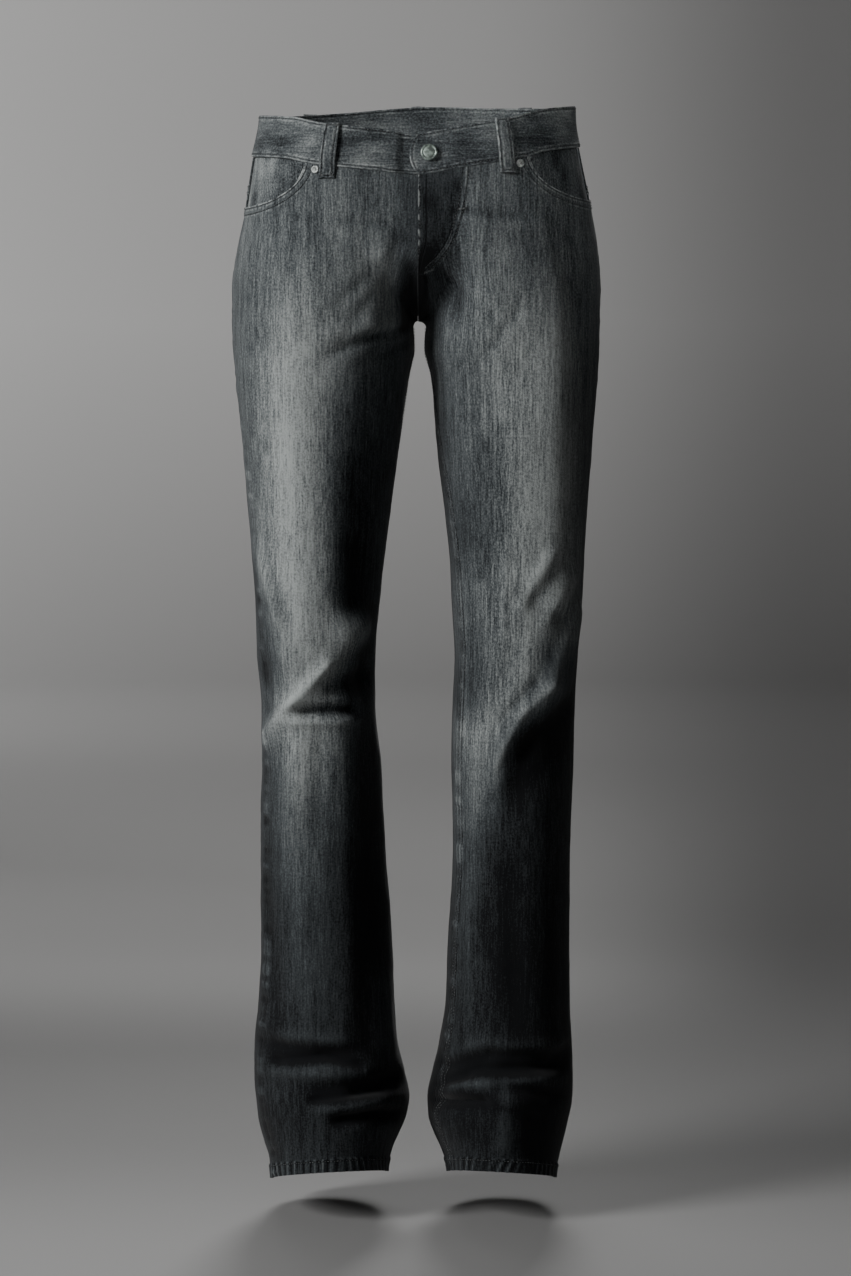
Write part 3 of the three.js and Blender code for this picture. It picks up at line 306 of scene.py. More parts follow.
def build_surface(side):
    """For each half: points by level and share across, and the panel's width by level."""
    legs, rings = half_rings(side, LEVELS)
    step = lambda p: np.hypot(*np.moveaxis(np.diff(p, axis=1), -1, 0))
    torso = ease((LEVELS - CROTCH_Z - 5) / TORSO_BLEND)[:, None]
    steps = mix(step(legs), step(rings), torso)
    steps[:, RING_STEPS] = 0
    run = np.hstack([np.zeros((len(LEVELS), 1)), np.cumsum(steps, 1)])
    twist = -side * look_up(DEPTHS, DEPTH_COLUMNS, "twist", LEVELS)
    share = np.linspace(0, 1, ACROSS_STEPS + 1)
    made = {}
    for half in ("front", "back"):
        grid = np.zeros((len(LEVELS), ACROSS_STEPS + 1, 2))
        widths = np.zeros(len(LEVELS))
        for k in range(len(LEVELS)):
            total = run[k, -1]
            angles = np.concatenate([np.linspace(0, 180, RING_STEPS + 1),
                                     np.linspace(180, 360, RING_STEPS + 1)])
            angles[RING_STEPS + 1] += 1e-7
            seam = lambda a: total * (a // 360) + np.interp(a % 360, angles, run[k])
            outer, inner = seam(twist[k]), seam(180 + twist[k])
            if half == "back":
                outer += total
            if half == "back" and twist[k] == 0:
                inner += 1e-6
            lengths = mix(outer, inner, share)
            run3 = np.concatenate([run[k] - total, run[k], run[k] + total])
            run3 += np.arange(len(run3)) * 1e-9
            for axis in (0, 1):
                grid[k, :, axis] = np.interp(lengths, run3, np.tile(rings[k, :, axis], 3))
            widths[k] = abs(inner - outer)
        made[half] = (grid, widths)
    return made


SURFACE = {side: build_surface(side) for side in (1, -1)}


def levels_at(z):
    z = np.clip(z, LEVELS[0], LEVELS[-1])
    k = np.clip(np.searchsorted(LEVELS, z, side="right") - 1, 0, len(LEVELS) - 2)
    return k, (z - LEVELS[k]) / (LEVELS[k + 1] - LEVELS[k])


def panel_width(side, half, z):
    k, share = levels_at(z)
    widths = SURFACE[side][half][1]
    return mix(widths[k], widths[k + 1], share)


def body(side, half, across, z):
    across, z = np.broadcast_arrays(np.asarray(across, float), np.asarray(z, float))
    grid, widths = SURFACE[side][half]
    k, up = levels_at(z)
    inset = HALF_SEAM / mix(widths[k], widths[k + 1], up)
    place = np.clip(across, inset, 1 - inset) * ACROSS_STEPS
    i = np.clip(place.astype(int), 0, ACROSS_STEPS - 1)
    s, up = (place - i)[..., None], up[..., None]
    low = mix(grid[k, i], grid[k, i + 1], s)
    high = mix(grid[k + 1, i], grid[k + 1, i + 1], s)
    xy = mix(low, high, up)
    return np.stack([side * xy[..., 0], xy[..., 1], z], -1)


def body_normal(side, half, across, z):
    right = body(side, half, np.minimum(1, across + 0.012), z)
    left = body(side, half, np.maximum(0, across - 0.012), z)
    rise = body(side, half, across, z + 1.5) - body(side, half, across, z - 1.5)
    normal = np.cross(right - left, rise)
    normal /= np.linalg.norm(normal, axis=-1, keepdims=True)
    return normal * (side * (-1 if half == "front" else 1))


def fold_depth(rows, point, normal):
    total = np.zeros(point.shape[:-1])
    for row in rows:
        face, x1, z1, x2, z2, width, depth, fade = row
        facing = ease((face * normal[..., 1] - 0.05) / 0.4)
        dx, dz = x2 - x1, z2 - z1
        length = math.hypot(dx, dz)
        px, pz = point[..., 0] - x1, point[..., 2] - z1
        along, across = (px * dx + pz * dz) / length, (px * dz - pz * dx) / length
        past = np.maximum(0, np.maximum(-along, along - length))
        shape = np.exp(-((across / width) ** 2) - (past / fade) ** 2)
        same_leg = np.sign(point[..., 0]) == np.sign(x1)
        total += depth * shape * facing * same_leg
    return total


HEM_SLOPE_FROM = -900.0
INSTEP_SLOPE, HEEL_SLOPE, SIDE_SLOPE = 0.24, 0.13, 0.06


def hem_drop(point):
    weight = ease((HEM_SLOPE_FROM - point[..., 2]) / (HEM_SLOPE_FROM - HEM_Z))
    back = point[..., 1] - 15
    slope = np.where(back < 0, INSTEP_SLOPE, HEEL_SLOPE)
    return -weight * (slope * back + SIDE_SLOPE * (np.abs(point[..., 0]) - 88))


def cloth(side, half, across, z, out=0.0, fine=True):
    """Points of the cloth at a distance out from the body surface, with its folds."""
    base = body(side, half, across, z)
    normal = body_normal(side, half, across, z)
    folds = fold_depth(FOLDS, base, normal)
    if fine:
        folds = folds + fold_depth(CREASES, base, normal)
    point = base + normal * (out + folds)[..., None]
    point[..., 0] = side * np.maximum(side * point[..., 0], HALF_SEAM)
    point[..., 2] += hem_drop(base)
    return point


# Girth shares: 0 centre front, 1 centre back, positive round the wearer's left

def girth_points(girth, z, out):
    girth, z, out = np.broadcast_arrays(*[np.asarray(v, float) for v in (girth, z, out)])
    wrapped = np.where(girth > 1, girth - 2, girth)
    share = np.abs(wrapped)
    points = np.zeros(girth.shape + (3,))
    for side in (1, -1):
        for half in ("front", "back"):
            use = ((wrapped >= 0) == (side > 0)) & ((share <= 0.5) == (half == "front"))
            if use.any():
                across = 1 - 2 * share[use] if half == "front" else 2 * share[use] - 1
                points[use] = cloth(side, half, across, z[use], out[use])
    return points


FRONT_SHARES = np.linspace(0, 0.5, 2001)


def front_reach(side, z):
    """How far out the front stands at each of its girth shares, at one height."""
    return np.abs(girth_points(side * FRONT_SHARES, z, 0)[:, 0])


def girth_at_x(x, z):
    side = 1 if x >= 0 else -1
    return side * float(np.interp(abs(x), front_reach(side, z), FRONT_SHARES))


def band_top(girth):
    wrapped = np.where(np.asarray(girth) > 1, np.asarray(girth) - 2, girth)
    lean = WAIST_LEAN * np.sin(np.pi * wrapped)
    return look_up(BAND_TOPS, BAND_TOP_COLUMNS, "z", np.abs(wrapped)) + lean


def band_seam(girth):
    return band_top(girth) - BAND_HEIGHT


# Meshes from grids

SHARP_ANGLE = 55.0

def new_object(name, verts, faces):
    mesh = bpy.data.meshes.new(name)
    mesh.from_pydata(np.asarray(verts) / 1000.0, [], faces)
    mesh.update()
    mesh.shade_smooth()
    mesh.set_sharp_from_angle(angle=math.radians(SHARP_ANGLE))
    obj = bpy.data.objects.new(name, mesh)
    bpy.context.scene.collection.objects.link(obj)
    return obj


def grid_faces(rows, columns):
    at = lambda layer, i, j: layer * rows * columns + i * columns + j
    i, j = np.meshgrid(np.arange(rows - 1), np.arange(columns - 1), indexing="ij")
    i, j = i.ravel(), j.ravel()
    quads = [
        np.stack([at(0, i, j), at(0, i + 1, j), at(0, i + 1, j + 1), at(0, i, j + 1)], 1),
        np.stack([at(1, i, j), at(1, i, j + 1), at(1, i + 1, j + 1), at(1, i + 1, j)], 1),
    ]
    i, last = np.arange(rows - 1), columns - 1
    quads.append(np.stack([at(0, i, 0), at(1, i, 0), at(1, i + 1, 0), at(0, i + 1, 0)], 1))
    quads.append(np.stack([at(0, i, last), at(0, i + 1, last), at(1, i + 1, last),
                           at(1, i, last)], 1))
    j, foot = np.arange(columns - 1), rows - 1
    quads.append(np.stack([at(0, 0, j), at(0, 0, j + 1), at(1, 0, j + 1), at(1, 0, j)], 1))
    quads.append(np.stack([at(0, foot, j), at(1, foot, j), at(1, foot, j + 1),
                           at(0, foot, j + 1)], 1))
    return np.concatenate(quads)


def shell(name, outer, inner, uv, fields):
    """Closed cloth shell with its cloth coordinates and named values on its points."""
    rows, columns = outer.shape[:2]
    verts = np.concatenate([outer.reshape(-1, 3), inner.reshape(-1, 3)])
    faces = grid_faces(rows, columns)
    a, b, c = verts[faces[:, 0]], verts[faces[:, 1]], verts[faces[:, 2]]
    d = verts[faces[:, 3]]
    volume = (a * np.cross(b, c)).sum() + (a * np.cross(c, d)).sum()
    if volume < 0:
        faces = faces[:, ::-1]
    obj = new_object(name, verts, faces.tolist())
    mesh = obj.data
    both = np.tile(uv.reshape(-1, 2), (2, 1)) / 1000.0
    loops = np.zeros(len(mesh.loops), int)
    mesh.loops.foreach_get("vertex_index", loops)
    layer = mesh.uv_layers.new(name="cloth")
    layer.data.foreach_set("uv", both[loops].astype(np.float32).ravel())
    for key, value in fields.items():
        values = np.broadcast_to(np.asarray(value, float), (rows, columns)).ravel()
        attribute = mesh.attributes.new(name=key, type="FLOAT", domain="POINT")
        attribute.data.foreach_set("value", np.tile(values, 2).astype(np.float32))
    return obj


def line_distance(points, line):
    """Distance from flat points to a flat line of points."""
    flat = points.reshape(-1, 2)
    best = np.full(len(flat), 1e9)
    for a, b in zip(line[:-1], line[1:]):
        d = b - a
        t = np.clip(((flat - a) @ d) / max(d @ d, 1e-9), 0, 1)
        best = np.minimum(best, np.hypot(*(flat - a - t[:, None] * d).T))
    return best.reshape(points.shape[:-1])


# Fade of the dye: worn thighs and seat, dark sides and shins, with painted shade and light laid into it
# where marked

FADE_COLUMNS = ["z", "front", "side", "back"]
# The lowest side values, below the knees, are partly dark dye and partly painted shade
FADES = [
    [20, 0.36, 0.30, 0.32], [-60, 0.50, 0.36, 0.42], [-90, 0.54, 0.38, 0.46],
    [-120, 0.58, 0.38, 0.50], [-163, 0.68, 0.36, 0.50], [-210, 0.82, 0.33, 0.46],
    [-260, 0.90, 0.28, 0.44], [-380, 0.94, 0.24, 0.42], [-470, 0.94, 0.15, 0.38],
    [-560, 0.94, 0.12, 0.38], [-610, 0.82, 0.10, 0.32], [-650, 0.58, 0.07, 0.26],
    [-700, 0.38, 0.05, 0.20], [-745, 0.22, 0.04, 0.15], [-800, 0.14, 0.03, 0.11],
    [-880, 0.09, 0.02, 0.08], [-960, 0.06, 0.02, 0.07], [-1000, 0.05, 0.02, 0.07],
    [-1062, 0.12, 0.05, 0.10],
]
# Middle and half width of the worn front by height, on each leg; below the wearer's left knee it is
# narrowed as painted shade on the leg's shaded side
WORN_COLUMNS = ["z", "midL", "halfL", "midR", "halfR"]
WORN_AND_SHADED = [
    [-100, 96, 60, 92, 62], [-230, 96, 58, 114, 54], [-300, 100, 52, 122, 46],
    [-380, 108, 46, 124, 40], [-470, 108, 42, 112, 38], [-506, 104, 33, 102, 37],
    [-531, 100, 28, 96, 35], [-576, 88, 23, 108, 42], [-616, 58, 23, 108, 44],
    [-650, 56, 26, 106, 42], [-716, 44, 28, 104, 38], [-800, 40, 27, 104, 38],
    [-1062, 64, 38, 96, 50],
]


def dye_fade_and_painted_shade(side, point, normal, z):
    value = lambda name: look_up(FADES, FADE_COLUMNS, name, z)
    leg = "L" if side > 0 else "R"
    worn = lambda name: look_up(WORN_AND_SHADED, WORN_COLUMNS, name + leg, z)
    aside = np.abs(point[..., 0])
    between = lambda low, soft_low, high, soft_high: (
        ease((z - low) / soft_low) * ease((high - z) / soft_high))
    off = aside - worn("mid")
    wider = 1 + 0.7 * (side > 0) * (off < 0) * between(-625, 30, -400, 80)
    spread = np.exp(-(off / (worn("half") * wider)) ** 2)
    front = mix(value("side"), value("front"), spread)
    if side > 0:
        # painted shadow: dark outer side of the wearer's left knee, below its fold
        front = front * (1 - 0.7 * ease((aside - 116) / 14) * between(-640, 40, -505, 30))
    else:
        # less worn patches above the wearer's right knee and at its outer side
        front = front - 0.24 * np.exp(-((aside - 133) / 22) ** 2 - ((z + 478) / 26) ** 2)
        front = front - 0.20 * ease((aside - 152) / 8) * between(-500, 30, -420, 30)
    back = mix(value("side"), value("back"), np.exp(-((aside - 92) / 48) ** 2))
    facing = ease((-normal[..., 1] + 0.55) / 0.9)
    # painted light: the fade is evened round the hips, lightening their shaded sides
    hip_painted_light = ease((z + 190) / 70)
    even = mix(value("side"), value("front"), 0.75)
    front = mix(front, even, hip_painted_light * 0.8)
    # painted shade: darker at the centre front, much darker in the fork, and a little darker down the
    # wearer's left shin
    centre = ease((30 - aside) / 26) * between(-215, 30, -48, 20)
    front = front * (1 - 0.5 * centre)
    near, along = (24, 50) if side < 0 else (14, 30)
    fork = ease((near - aside) / 9) * between(-213, 8, -134, along)
    front = front - 0.42 * fork - 0.05 * (side > 0) * ease((-700 - z) / 120)
    return mix(back, front, facing)


def dye_fade_and_painted_shade_on(side, half, across, z):
    return dye_fade_and_painted_shade(side, body(side, half, across, z), body_normal(side, half, across, z), z)


FAR = 99.0


def plain_fields(**given):
    """Named values of a piece that is far from every seam, apart from those given."""
    far = dict.fromkeys(("to_side", "to_inner", "to_mouth", "to_fly", "to_hem"), FAR)
    return {"crease_wear_and_shade": 0, **far, **given}


# Leg panels

COLUMNS = 100
MOUTH_CELLS = 30
TOP_ROWS = 34
EDGE_CELLS = 8
EDGE_SHARE = 0.042
# Painted shading of the folds, with their ridge wear: finer ones count for more, and a full one is this
# deep
CREASE_SHADE, FOLD_FULL = 1.4, 5.0


def even_columns():
    """Shares across a panel, closer together at both seams."""
    edge = np.linspace(0, EDGE_SHARE, EDGE_CELLS + 1)
    middle = np.linspace(EDGE_SHARE, 1 - EDGE_SHARE, COLUMNS - 2 * EDGE_CELLS + 1)
    return np.concatenate([edge[:-1], middle, 1 - edge[::-1][1:]])


def lower_rows():
    return np.concatenate([
        np.arange(HIP_ROW_Z, -190, -2.5), np.arange(-190, -206, -1.0),
        np.arange(-206, -1040, -2.7), np.linspace(-1041, HEM_Z, 19)])


def mouth_line(side):
    """Places of the pocket mouth from the side seam to the waistband: across and z."""
    corner = abs(girth_at_x(side * MOUTH_X, SEAM_NEAR_Z))
    corner_z = float(band_seam(side * corner)) - 2 * HALF_SEAM
    angle = np.linspace(0, 90, MOUTH_CELLS + 1)
    x = mix(SIDE_HALF_WIDTH, MOUTH_X, np.sin(np.radians(angle)))
    girth = np.interp(x, front_reach(side, MOUTH_NEAR_Z), FRONT_SHARES)
    girth[0], girth[-1] = 0.5, corner
    z = mix(MOUTH_SIDE_Z + side * MOUTH_LEAN, corner_z, 1 - np.cos(np.radians(angle)))
    return 1 - 2 * girth, z, corner


def panel_top(side, half):
    if half == "back":
        across = even_columns()
        return across, mix(YOKE_SIDE_Z, YOKE_CENTRE_Z, across) - HALF_SEAM
    across, z, corner = mouth_line(side)
    girth = np.linspace(corner, 0, COLUMNS - MOUTH_CELLS + 1)[1:]
    return (np.concatenate([across, 1 - 2 * girth]),
            np.concatenate([z, band_seam(side * girth) - 2 * HALF_SEAM]))


def panel_places(side, half):
    top_across, top_z = panel_top(side, half)
    share = (np.linspace(0, 1, TOP_ROWS + 1)[:-1] ** 1.35)[:, None]
    upper_across = mix(top_across, even_columns(), ease(share))
    upper_z = mix(top_z, HIP_ROW_Z, share)
    z = lower_rows()
    lower_across = np.broadcast_to(even_columns(), (len(z), COLUMNS + 1))
    lower_z = np.broadcast_to(z[:, None], lower_across.shape)
    return np.vstack([upper_across, lower_across]), np.vstack([upper_z, lower_z])


def flat_places(side, half, across, z):
    return np.stack([across * panel_width(side, half, z), z], -1)


GRAIN_X = 92.0


def grain_lines():
    """For each panel, the share across where an upright line crosses each level."""
    made = {}
    tried = np.linspace(0.2, 0.8, 121)
    for side in (1, -1):
        for half in ("front", "back"):
            x = np.abs(body(side, half, tried[None, :], LEVELS[:, None])[..., 0])
            made[side, half] = np.array([np.interp(GRAIN_X, row[::-1], tried[::-1]) for row in x])
    return made


GRAIN = grain_lines()


def cloth_uv(side, half, across, z):
    """Cloth coordinates with the grain running straight down the leg."""
    shift = (0 if half == "front" else 700) + (0 if side > 0 else 350)
    start = np.interp(z, LEVELS, GRAIN[side, half])
    return np.stack([(across - start) * panel_width(side, half, z) + shift, z], -1)


FLY_LINE = [[50, -42], [49, -60], [46, -82], [41, -102], [36, -118], [30, -131], [21, -143],
            [9, -153]]


def fly_line(offset=0.0):
    """Curved stitch line of the fly as half width and height, offset mm further in."""
    rows = np.array(FLY_LINE, float)
    share = np.linspace(0, len(rows) - 1, 36)
    x = np.interp(share, np.arange(len(rows)), rows[:, 0])
    z = np.interp(share, np.arange(len(rows)), rows[:, 1])
    down = ease((-100 - z) / 50)
    return np.stack([x - offset * (1 - 0.8 * down), z + offset * down], -1)


def hem_rope(to_side, z):
    """Slanted rolls of the turned hem, from -1 to 1."""
    lean = 0.15 + 0.25 * WAVES.at(to_side / 40, 0 * z)
    place = (to_side + lean * (z - HEM_Z)) / 8.6 + 0.3 * WAVES.at(to_side / 19, 0 * z)
    return np.sin(2 * np.pi * place) * (0.75 + 0.4 * WAVES.at(to_side / 21, 5 + 0 * z))


def seam_puckers(distance, z, phase, reach=8.0):
    wave = WAVES.at(z / 5.2 + phase, np.full_like(z, phase)) * 0.8
    wave = wave + WAVES.at(z / 11.5 + phase, np.full_like(z, 3.1 * phase)) * 1.0
    return wave * np.exp(-distance / reach)


def make_panel(side, half):
    across, z = panel_places(side, half)
    base = body(side, half, across, z)
    normal = body_normal(side, half, across, z)
    flat = flat_places(side, half, across, z)
    width = panel_width(side, half, z)
    to_side, to_inner = across * width, (1 - across) * width
    to_top = line_distance(flat, flat[0])
    to_mouth = np.full_like(z, FAR)
    if half == "front":
        to_mouth = line_distance(flat, flat[0, :MOUTH_CELLS + 1])
    to_fly = np.full_like(z, FAR)
    fly = 0.0
    if half == "front" and side > 0:
        upright = np.stack([base[..., 0], z], -1)
        line = fly_line()
        inside = (base[..., 0] < np.interp(-z, -line[:, 1], line[:, 0])) & (z > -153)
        to_fly = line_distance(upright, line) * np.where(inside, 1, -1)
        fly = FLY_RISE * ease((to_fly + 1.5) / 3.0) * ease((z + 160) / 14)
        fly = fly * (z > -160)
        edge = ease((z + 205) / 12)
        fly = np.maximum(fly, FLY_RISE * edge * ease((9 - base[..., 0]) / 3))
    hem = HEM_RISE * np.clip((HEM_Z + HEM_BAND + 0.6 - z) / 1.2, 0, 1)
    rope = hem_rope(to_side, z) * 0.75 * (hem > 0)
    phase = 11.0 * (side + 2)
    lower = ease((-80 - z) / 60)
    low_leg = 1 + 1.1 * ease((-600 - z) / 120)
    side_waves = seam_puckers(to_side, z, phase + 0.3, 12.0) * lower
    inner_waves = seam_puckers(to_inner, z, phase + 1.7, 11.0) * ease((-205 - z) / 20)
    pucker = (0.75 * side_waves + 0.6 * inner_waves) * low_leg
    seam_ridge = 0.0
    if half == "front":
        felled = ease((10 - to_inner) / 2) * ease((CROTCH_Z - 4 - z) / 14)
        seam_ridge = 0.45 * felled
        seam_ridge = seam_ridge + 0.35 * ease((9.5 - to_mouth) / 1.5)
    elif side > 0:
        seam_ridge = 0.45 * ease((9 - to_inner) / 2) * ease((z - CROTCH_Z + 4) / 14)
    soft = 0.5 * WAVES.at(to_side / 26 + phase, z / 34) + 0.2 * WAVES.at(to_side / 9, z / 13)
    soft = soft * ease(np.minimum(to_side, to_inner) / 22)
    out = fly + hem + rope + pucker + seam_ridge + soft * (1 - ease((12 - to_top) / 10))
    outer = cloth(side, half, across, z, out)
    inner = cloth(side, half, across, z, np.minimum(out, 0.4) - WALL - hem)
    # fold depths for the painted shade and ridge wear in the colour
    folds = fold_depth(FOLDS, base, normal) + CREASE_SHADE * fold_depth(CREASES, base, normal)
    mottled = 0.7 + 0.6 * WAVES.at(base[..., 0] / 13, z / 17)
    # painted shadow inside the fly's curve, mottled
    fly_painted_shade = 0.34 * ease((to_fly - 3) / 6) * (to_fly < FAR) * mottled
    fields = dict(
        fade=dye_fade_and_painted_shade(side, base, normal, z) - fly_painted_shade, crease_wear_and_shade=folds / FOLD_FULL, to_side=to_side,
        pucker=side_waves + inner_waves, rope=hem_rope(to_side, z),
        fly_edge_highlight=((half == "front") & (side > 0)) * ease((z + 206) / 8),
        to_inner=np.where((z > CROTCH_Z) & (half == "front") & (side < 0), 40, to_inner),
        to_mouth=to_mouth, to_fly=to_fly, to_hem=z - HEM_Z)
    return shell(f"cloth_{half}_{WORDS[side]}", outer, inner,
                 cloth_uv(side, half, across, z), fields)


# Yokes, facings, patch pockets and fly shield

def make_yoke(side):
    across = np.broadcast_to(even_columns(), (27, COLUMNS + 1))
    seam = band_seam(side * (0.5 + across[0] / 2)) - 2 * HALF_SEAM
    foot = mix(YOKE_SIDE_Z, YOKE_CENTRE_Z, across[0]) + HALF_SEAM
    z = mix(seam, foot, np.linspace(0, 1, 27)[:, None])
    flat = flat_places(side, "back", across, z)
    to_yoke = line_distance(flat, flat[-1])
    width = panel_width(side, "back", z)
    to_side, to_inner = across * width, (1 - across) * width
    ridge = 0.4 * ease((10 - to_yoke) / 2)
    if side > 0:
        ridge = np.maximum(ridge, 0.45 * ease((9 - to_inner) / 2))
    outer = cloth(side, "back", across, z, ridge)
    inner = cloth(side, "back", across, z, -WALL)
    fields = plain_fields(fade=dye_fade_and_painted_shade_on(side, "back", across, z), to_side=to_side,
                          to_inner=to_inner, to_mouth=to_yoke)
    return shell(f"cloth_yoke_{WORDS[side]}", outer, inner, cloth_uv(side, "back", across, z), fields)


FACING_DOWN = 22.0


def make_facing(side):
    across, mouth_z, _ = mouth_line(side)
    extra = np.linspace(across[-1], across[-1] + 0.09, 8)[1:]
    across = np.concatenate([across, extra])
    mouth_z = np.concatenate([mouth_z, band_seam(side * (1 - extra) / 2) - 0.3])
    seam = band_seam(side * (1 - across) / 2) + 2.5
    share = np.linspace(0, 1, 40)[:, None]
    z = mix(seam, mouth_z - FACING_DOWN, share)
    wide = np.broadcast_to(across, z.shape)
    deeper = 1.0 * ease((z - (seam - 4)) / 4)
    out = -WALL - 0.7 - deeper
    outer = cloth(side, "front", wide, z, out, fine=False)
    inner = cloth(side, "front", wide, z, out - 1.2, fine=False)
    # the facings' fade is set high as painted light, higher on the wearer's right, so the insides of
    # the pocket mouths read lit
    fields = plain_fields(fade=0.66 if side < 0 else 0.55,
                          to_side=wide * panel_width(side, "front", z))
    return shell(f"cloth_facing_{WORDS[side]}", outer, inner, cloth_uv(side, "front", wide, z), fields)


PANEL_CELLS = 12
ROWS_POCKET = [-150, -166, -180, -190, -196, -199.6, -202, -207, -218, -236, -256]
POCKET_TOP_Z, POCKET_FOOT_Z, POCKET_FOOT_DROP = -120.0, -256.0, 20.0
POCKET_OUTER, POCKET_INNER = 2, 8
POCKET_WIDER, POCKET_TAPER = 0.3, 0.75
POCKET_GAP, POCKET_THICK = 0.35, 1.6
POCKET_OUT = POCKET_GAP + POCKET_THICK


def pocket_bend(j, z):
    down = np.clip((POCKET_TOP_Z - z) / (POCKET_TOP_Z - POCKET_FOOT_Z), 0, 1)
    below = 1 - ease((POCKET_FOOT_Z - z) / 88)
    amount = mix(-POCKET_WIDER, POCKET_TAPER, down) * below
    return amount * (1 - 2 * (j - POCKET_OUTER) / (POCKET_INNER - POCKET_OUTER))


def pocket_places():
    """The coarse places of the patch pocket, then finely divided."""
    j = np.arange(POCKET_OUTER, POCKET_INNER + 1, dtype=float)
    rows_across, rows_z = [], []
    yoke_z = mix(YOKE_SIDE_Z, YOKE_CENTRE_Z, j / PANEL_CELLS) - HALF_SEAM
    for i in (3, 4, 5):
        z = mix(yoke_z, HIP_ROW_Z, i / 6)
        rows_across.append(mix(j / PANEL_CELLS, (j + pocket_bend(j, z)) / PANEL_CELLS, ease(i / 6)))
        rows_z.append(z)
    half = (POCKET_INNER - POCKET_OUTER) / 2
    drop = POCKET_FOOT_DROP * (1 - np.abs(j - POCKET_OUTER - half) / half)
    for z in ROWS_POCKET:
        rows_across.append((j + pocket_bend(j, np.full_like(j, z))) / PANEL_CELLS)
        rows_z.append(np.full_like(j, z) - (drop if z == POCKET_FOOT_Z else 0))
    coarse = np.stack([rows_across, rows_z], -1)
    down = np.linspace(0, 1, len(coarse)), np.linspace(0, 1, 64)
    wide = np.linspace(0, 1, len(j)), np.linspace(0, 1, 49)
    rows = np.stack([[np.interp(down[1], down[0], coarse[:, c, k]) for c in range(len(j))]
                     for k in (0, 1)], -1)
    fine = np.stack([[np.interp(wide[1], wide[0], rows[:, r, k]) for r in range(64)]
                     for k in (0, 1)], -1)
    return fine[..., 0], fine[..., 1]


def make_back_pocket(side):
    across, z = pocket_places()
    flat = flat_places(side, "back", across, z)
    outline = np.concatenate([flat[:, 0], flat[-1], flat[::-1, -1]])
    to_edge = line_distance(flat, outline)
    to_mouth = line_distance(flat, flat[0])
    rise = 0.5 * ease((14 - to_mouth) / 1.5) - 0.5 * (1 - ease(to_edge / 1.5))
    rise = rise + 0.35 * WAVES.at(flat[..., 0] / 17, z / 15) * ease((to_edge - 8) / 10)
    outer = cloth(side, "back", across, z, POCKET_OUT + rise)
    inner = cloth(side, "back", across, z, POCKET_GAP)
    fields = plain_fields(fade=dye_fade_and_painted_shade_on(side, "back", across, z) + 0.08, to_mouth=to_edge)
    return shell(f"cloth_back_pocket_{WORDS[side]}", outer, inner,
                 cloth_uv(side, "back", across, z) + [40, 0], fields)


SHIELD_WIDTH, FLY_BOTTOM_Z = 46.0, -150.0


def make_fly_shield():
    down = np.linspace(0, 1, 44)[:, None]
    wide = np.linspace(0, 1, 24)
    girth = SHIELD_WIDTH * wide * (1 - 0.45 * down ** 3) * 2 / GIRTH
    z = mix(band_seam(girth) - 4, FLY_BOTTOM_Z + 8 * wide, down)
    across = 1 - 2 * girth - 0.004
    outer = cloth(1, "front", across, z, np.full_like(z, -WALL - 1.1))
    inner = cloth(1, "front", across, z, np.full_like(z, -WALL - 2.5))
    return shell("cloth_fly_shield", outer, inner, cloth_uv(1, "front", across, z),
                 plain_fields(fade=0.15))


# Waistband and belt loops

BAND_ROWS = 21
DIP_START, DIP_END = -0.05, -0.026


def tab_end(level):
    return mix(0.012, TAB_OVER, np.sqrt(np.clip(1 - (2 * level - 1) ** 2, 0, 1)))


def make_waistband():
    level = 0.5 - 0.5 * np.cos(np.linspace(0, math.pi, BAND_ROWS))
    stations = np.concatenate([
        np.linspace(0, 1, 13)[:-1] ** 1.5 * 0.03, np.linspace(0.03, 2 + DIP_START, 420),
        2 + np.linspace(DIP_START, UNDER_END, 48)[1:]])
    start = (1 - ease(stations / 0.03))[:, None]
    girth = mix(stations[:, None], tab_end(level) + 0.35 * stations[:, None], start)
    beyond = (girth - 2) * (stations[:, None] > 1.5) + (stations[:, None] <= 1.5) * -9
    dip = BAND_UNDER * ease((beyond - DIP_START) / (DIP_END - DIP_START))
    short = 0.8 * ease((beyond - DIP_START) / 0.02)
    wrapped = np.where(girth > 1, girth - 2, girth)
    seam = band_seam(wrapped) + short
    top = band_top(wrapped) - short
    z = mix(seam, top, level)
    to_edge = np.minimum(level, 1 - level) * BAND_HEIGHT
    along = girth * GIRTH / 2
    to_end = np.where(stations[:, None] < 1, (girth - tab_end(level)) * GIRTH / 2, FAR)
    to_edge = np.minimum(to_edge, np.maximum(to_end, 0.0))
    round_edge = -0.5 * (1 - ease(to_edge / 1.6))
    pucker = 0.16 * WAVES.at(along / 4.3, level * 2.0) * np.exp(-np.abs(to_edge - 2.2) / 3)
    out = BAND_OUT - dip + round_edge + pucker
    outer = girth_points(wrapped, z, out)
    inner = girth_points(wrapped, z, -BAND_IN - dip)
    uv = np.stack([z + 1200, along], -1)
    return shell("cloth_waistband", outer, inner, uv, plain_fields(fade=0.44, to_mouth=to_edge))


LOOP_WIDTH, LOOP_THICK, LOOP_BELOW, LOOP_ARCH = 14.5, 2.0, 12.0, 2.6
LOOP_GRID = 70, 23
LOOP_STITCH_IN = 2.6
LOOP_ROWS = [[0, 0, 1.25], [0.06, 0.05, 1.25], [0.1, 0.35, 1], [0.22, 0.9, 1], [0.42, 1, 1],
             [0.62, 0.85, 1], [0.8, 0.35, 1], [0.9, 0, 1.25], [1, 0, 1.25]]
FRONT_LOOP_GIRTH, BACK_LOOP_GIRTH = 0.191, 0.74
LOOPS = [("front_left", FRONT_LOOP_GIRTH), ("front_right", -FRONT_LOOP_GIRTH),
         ("back_left", BACK_LOOP_GIRTH), ("back_right", -BACK_LOOP_GIRTH), ("centre_back", 1.0)]


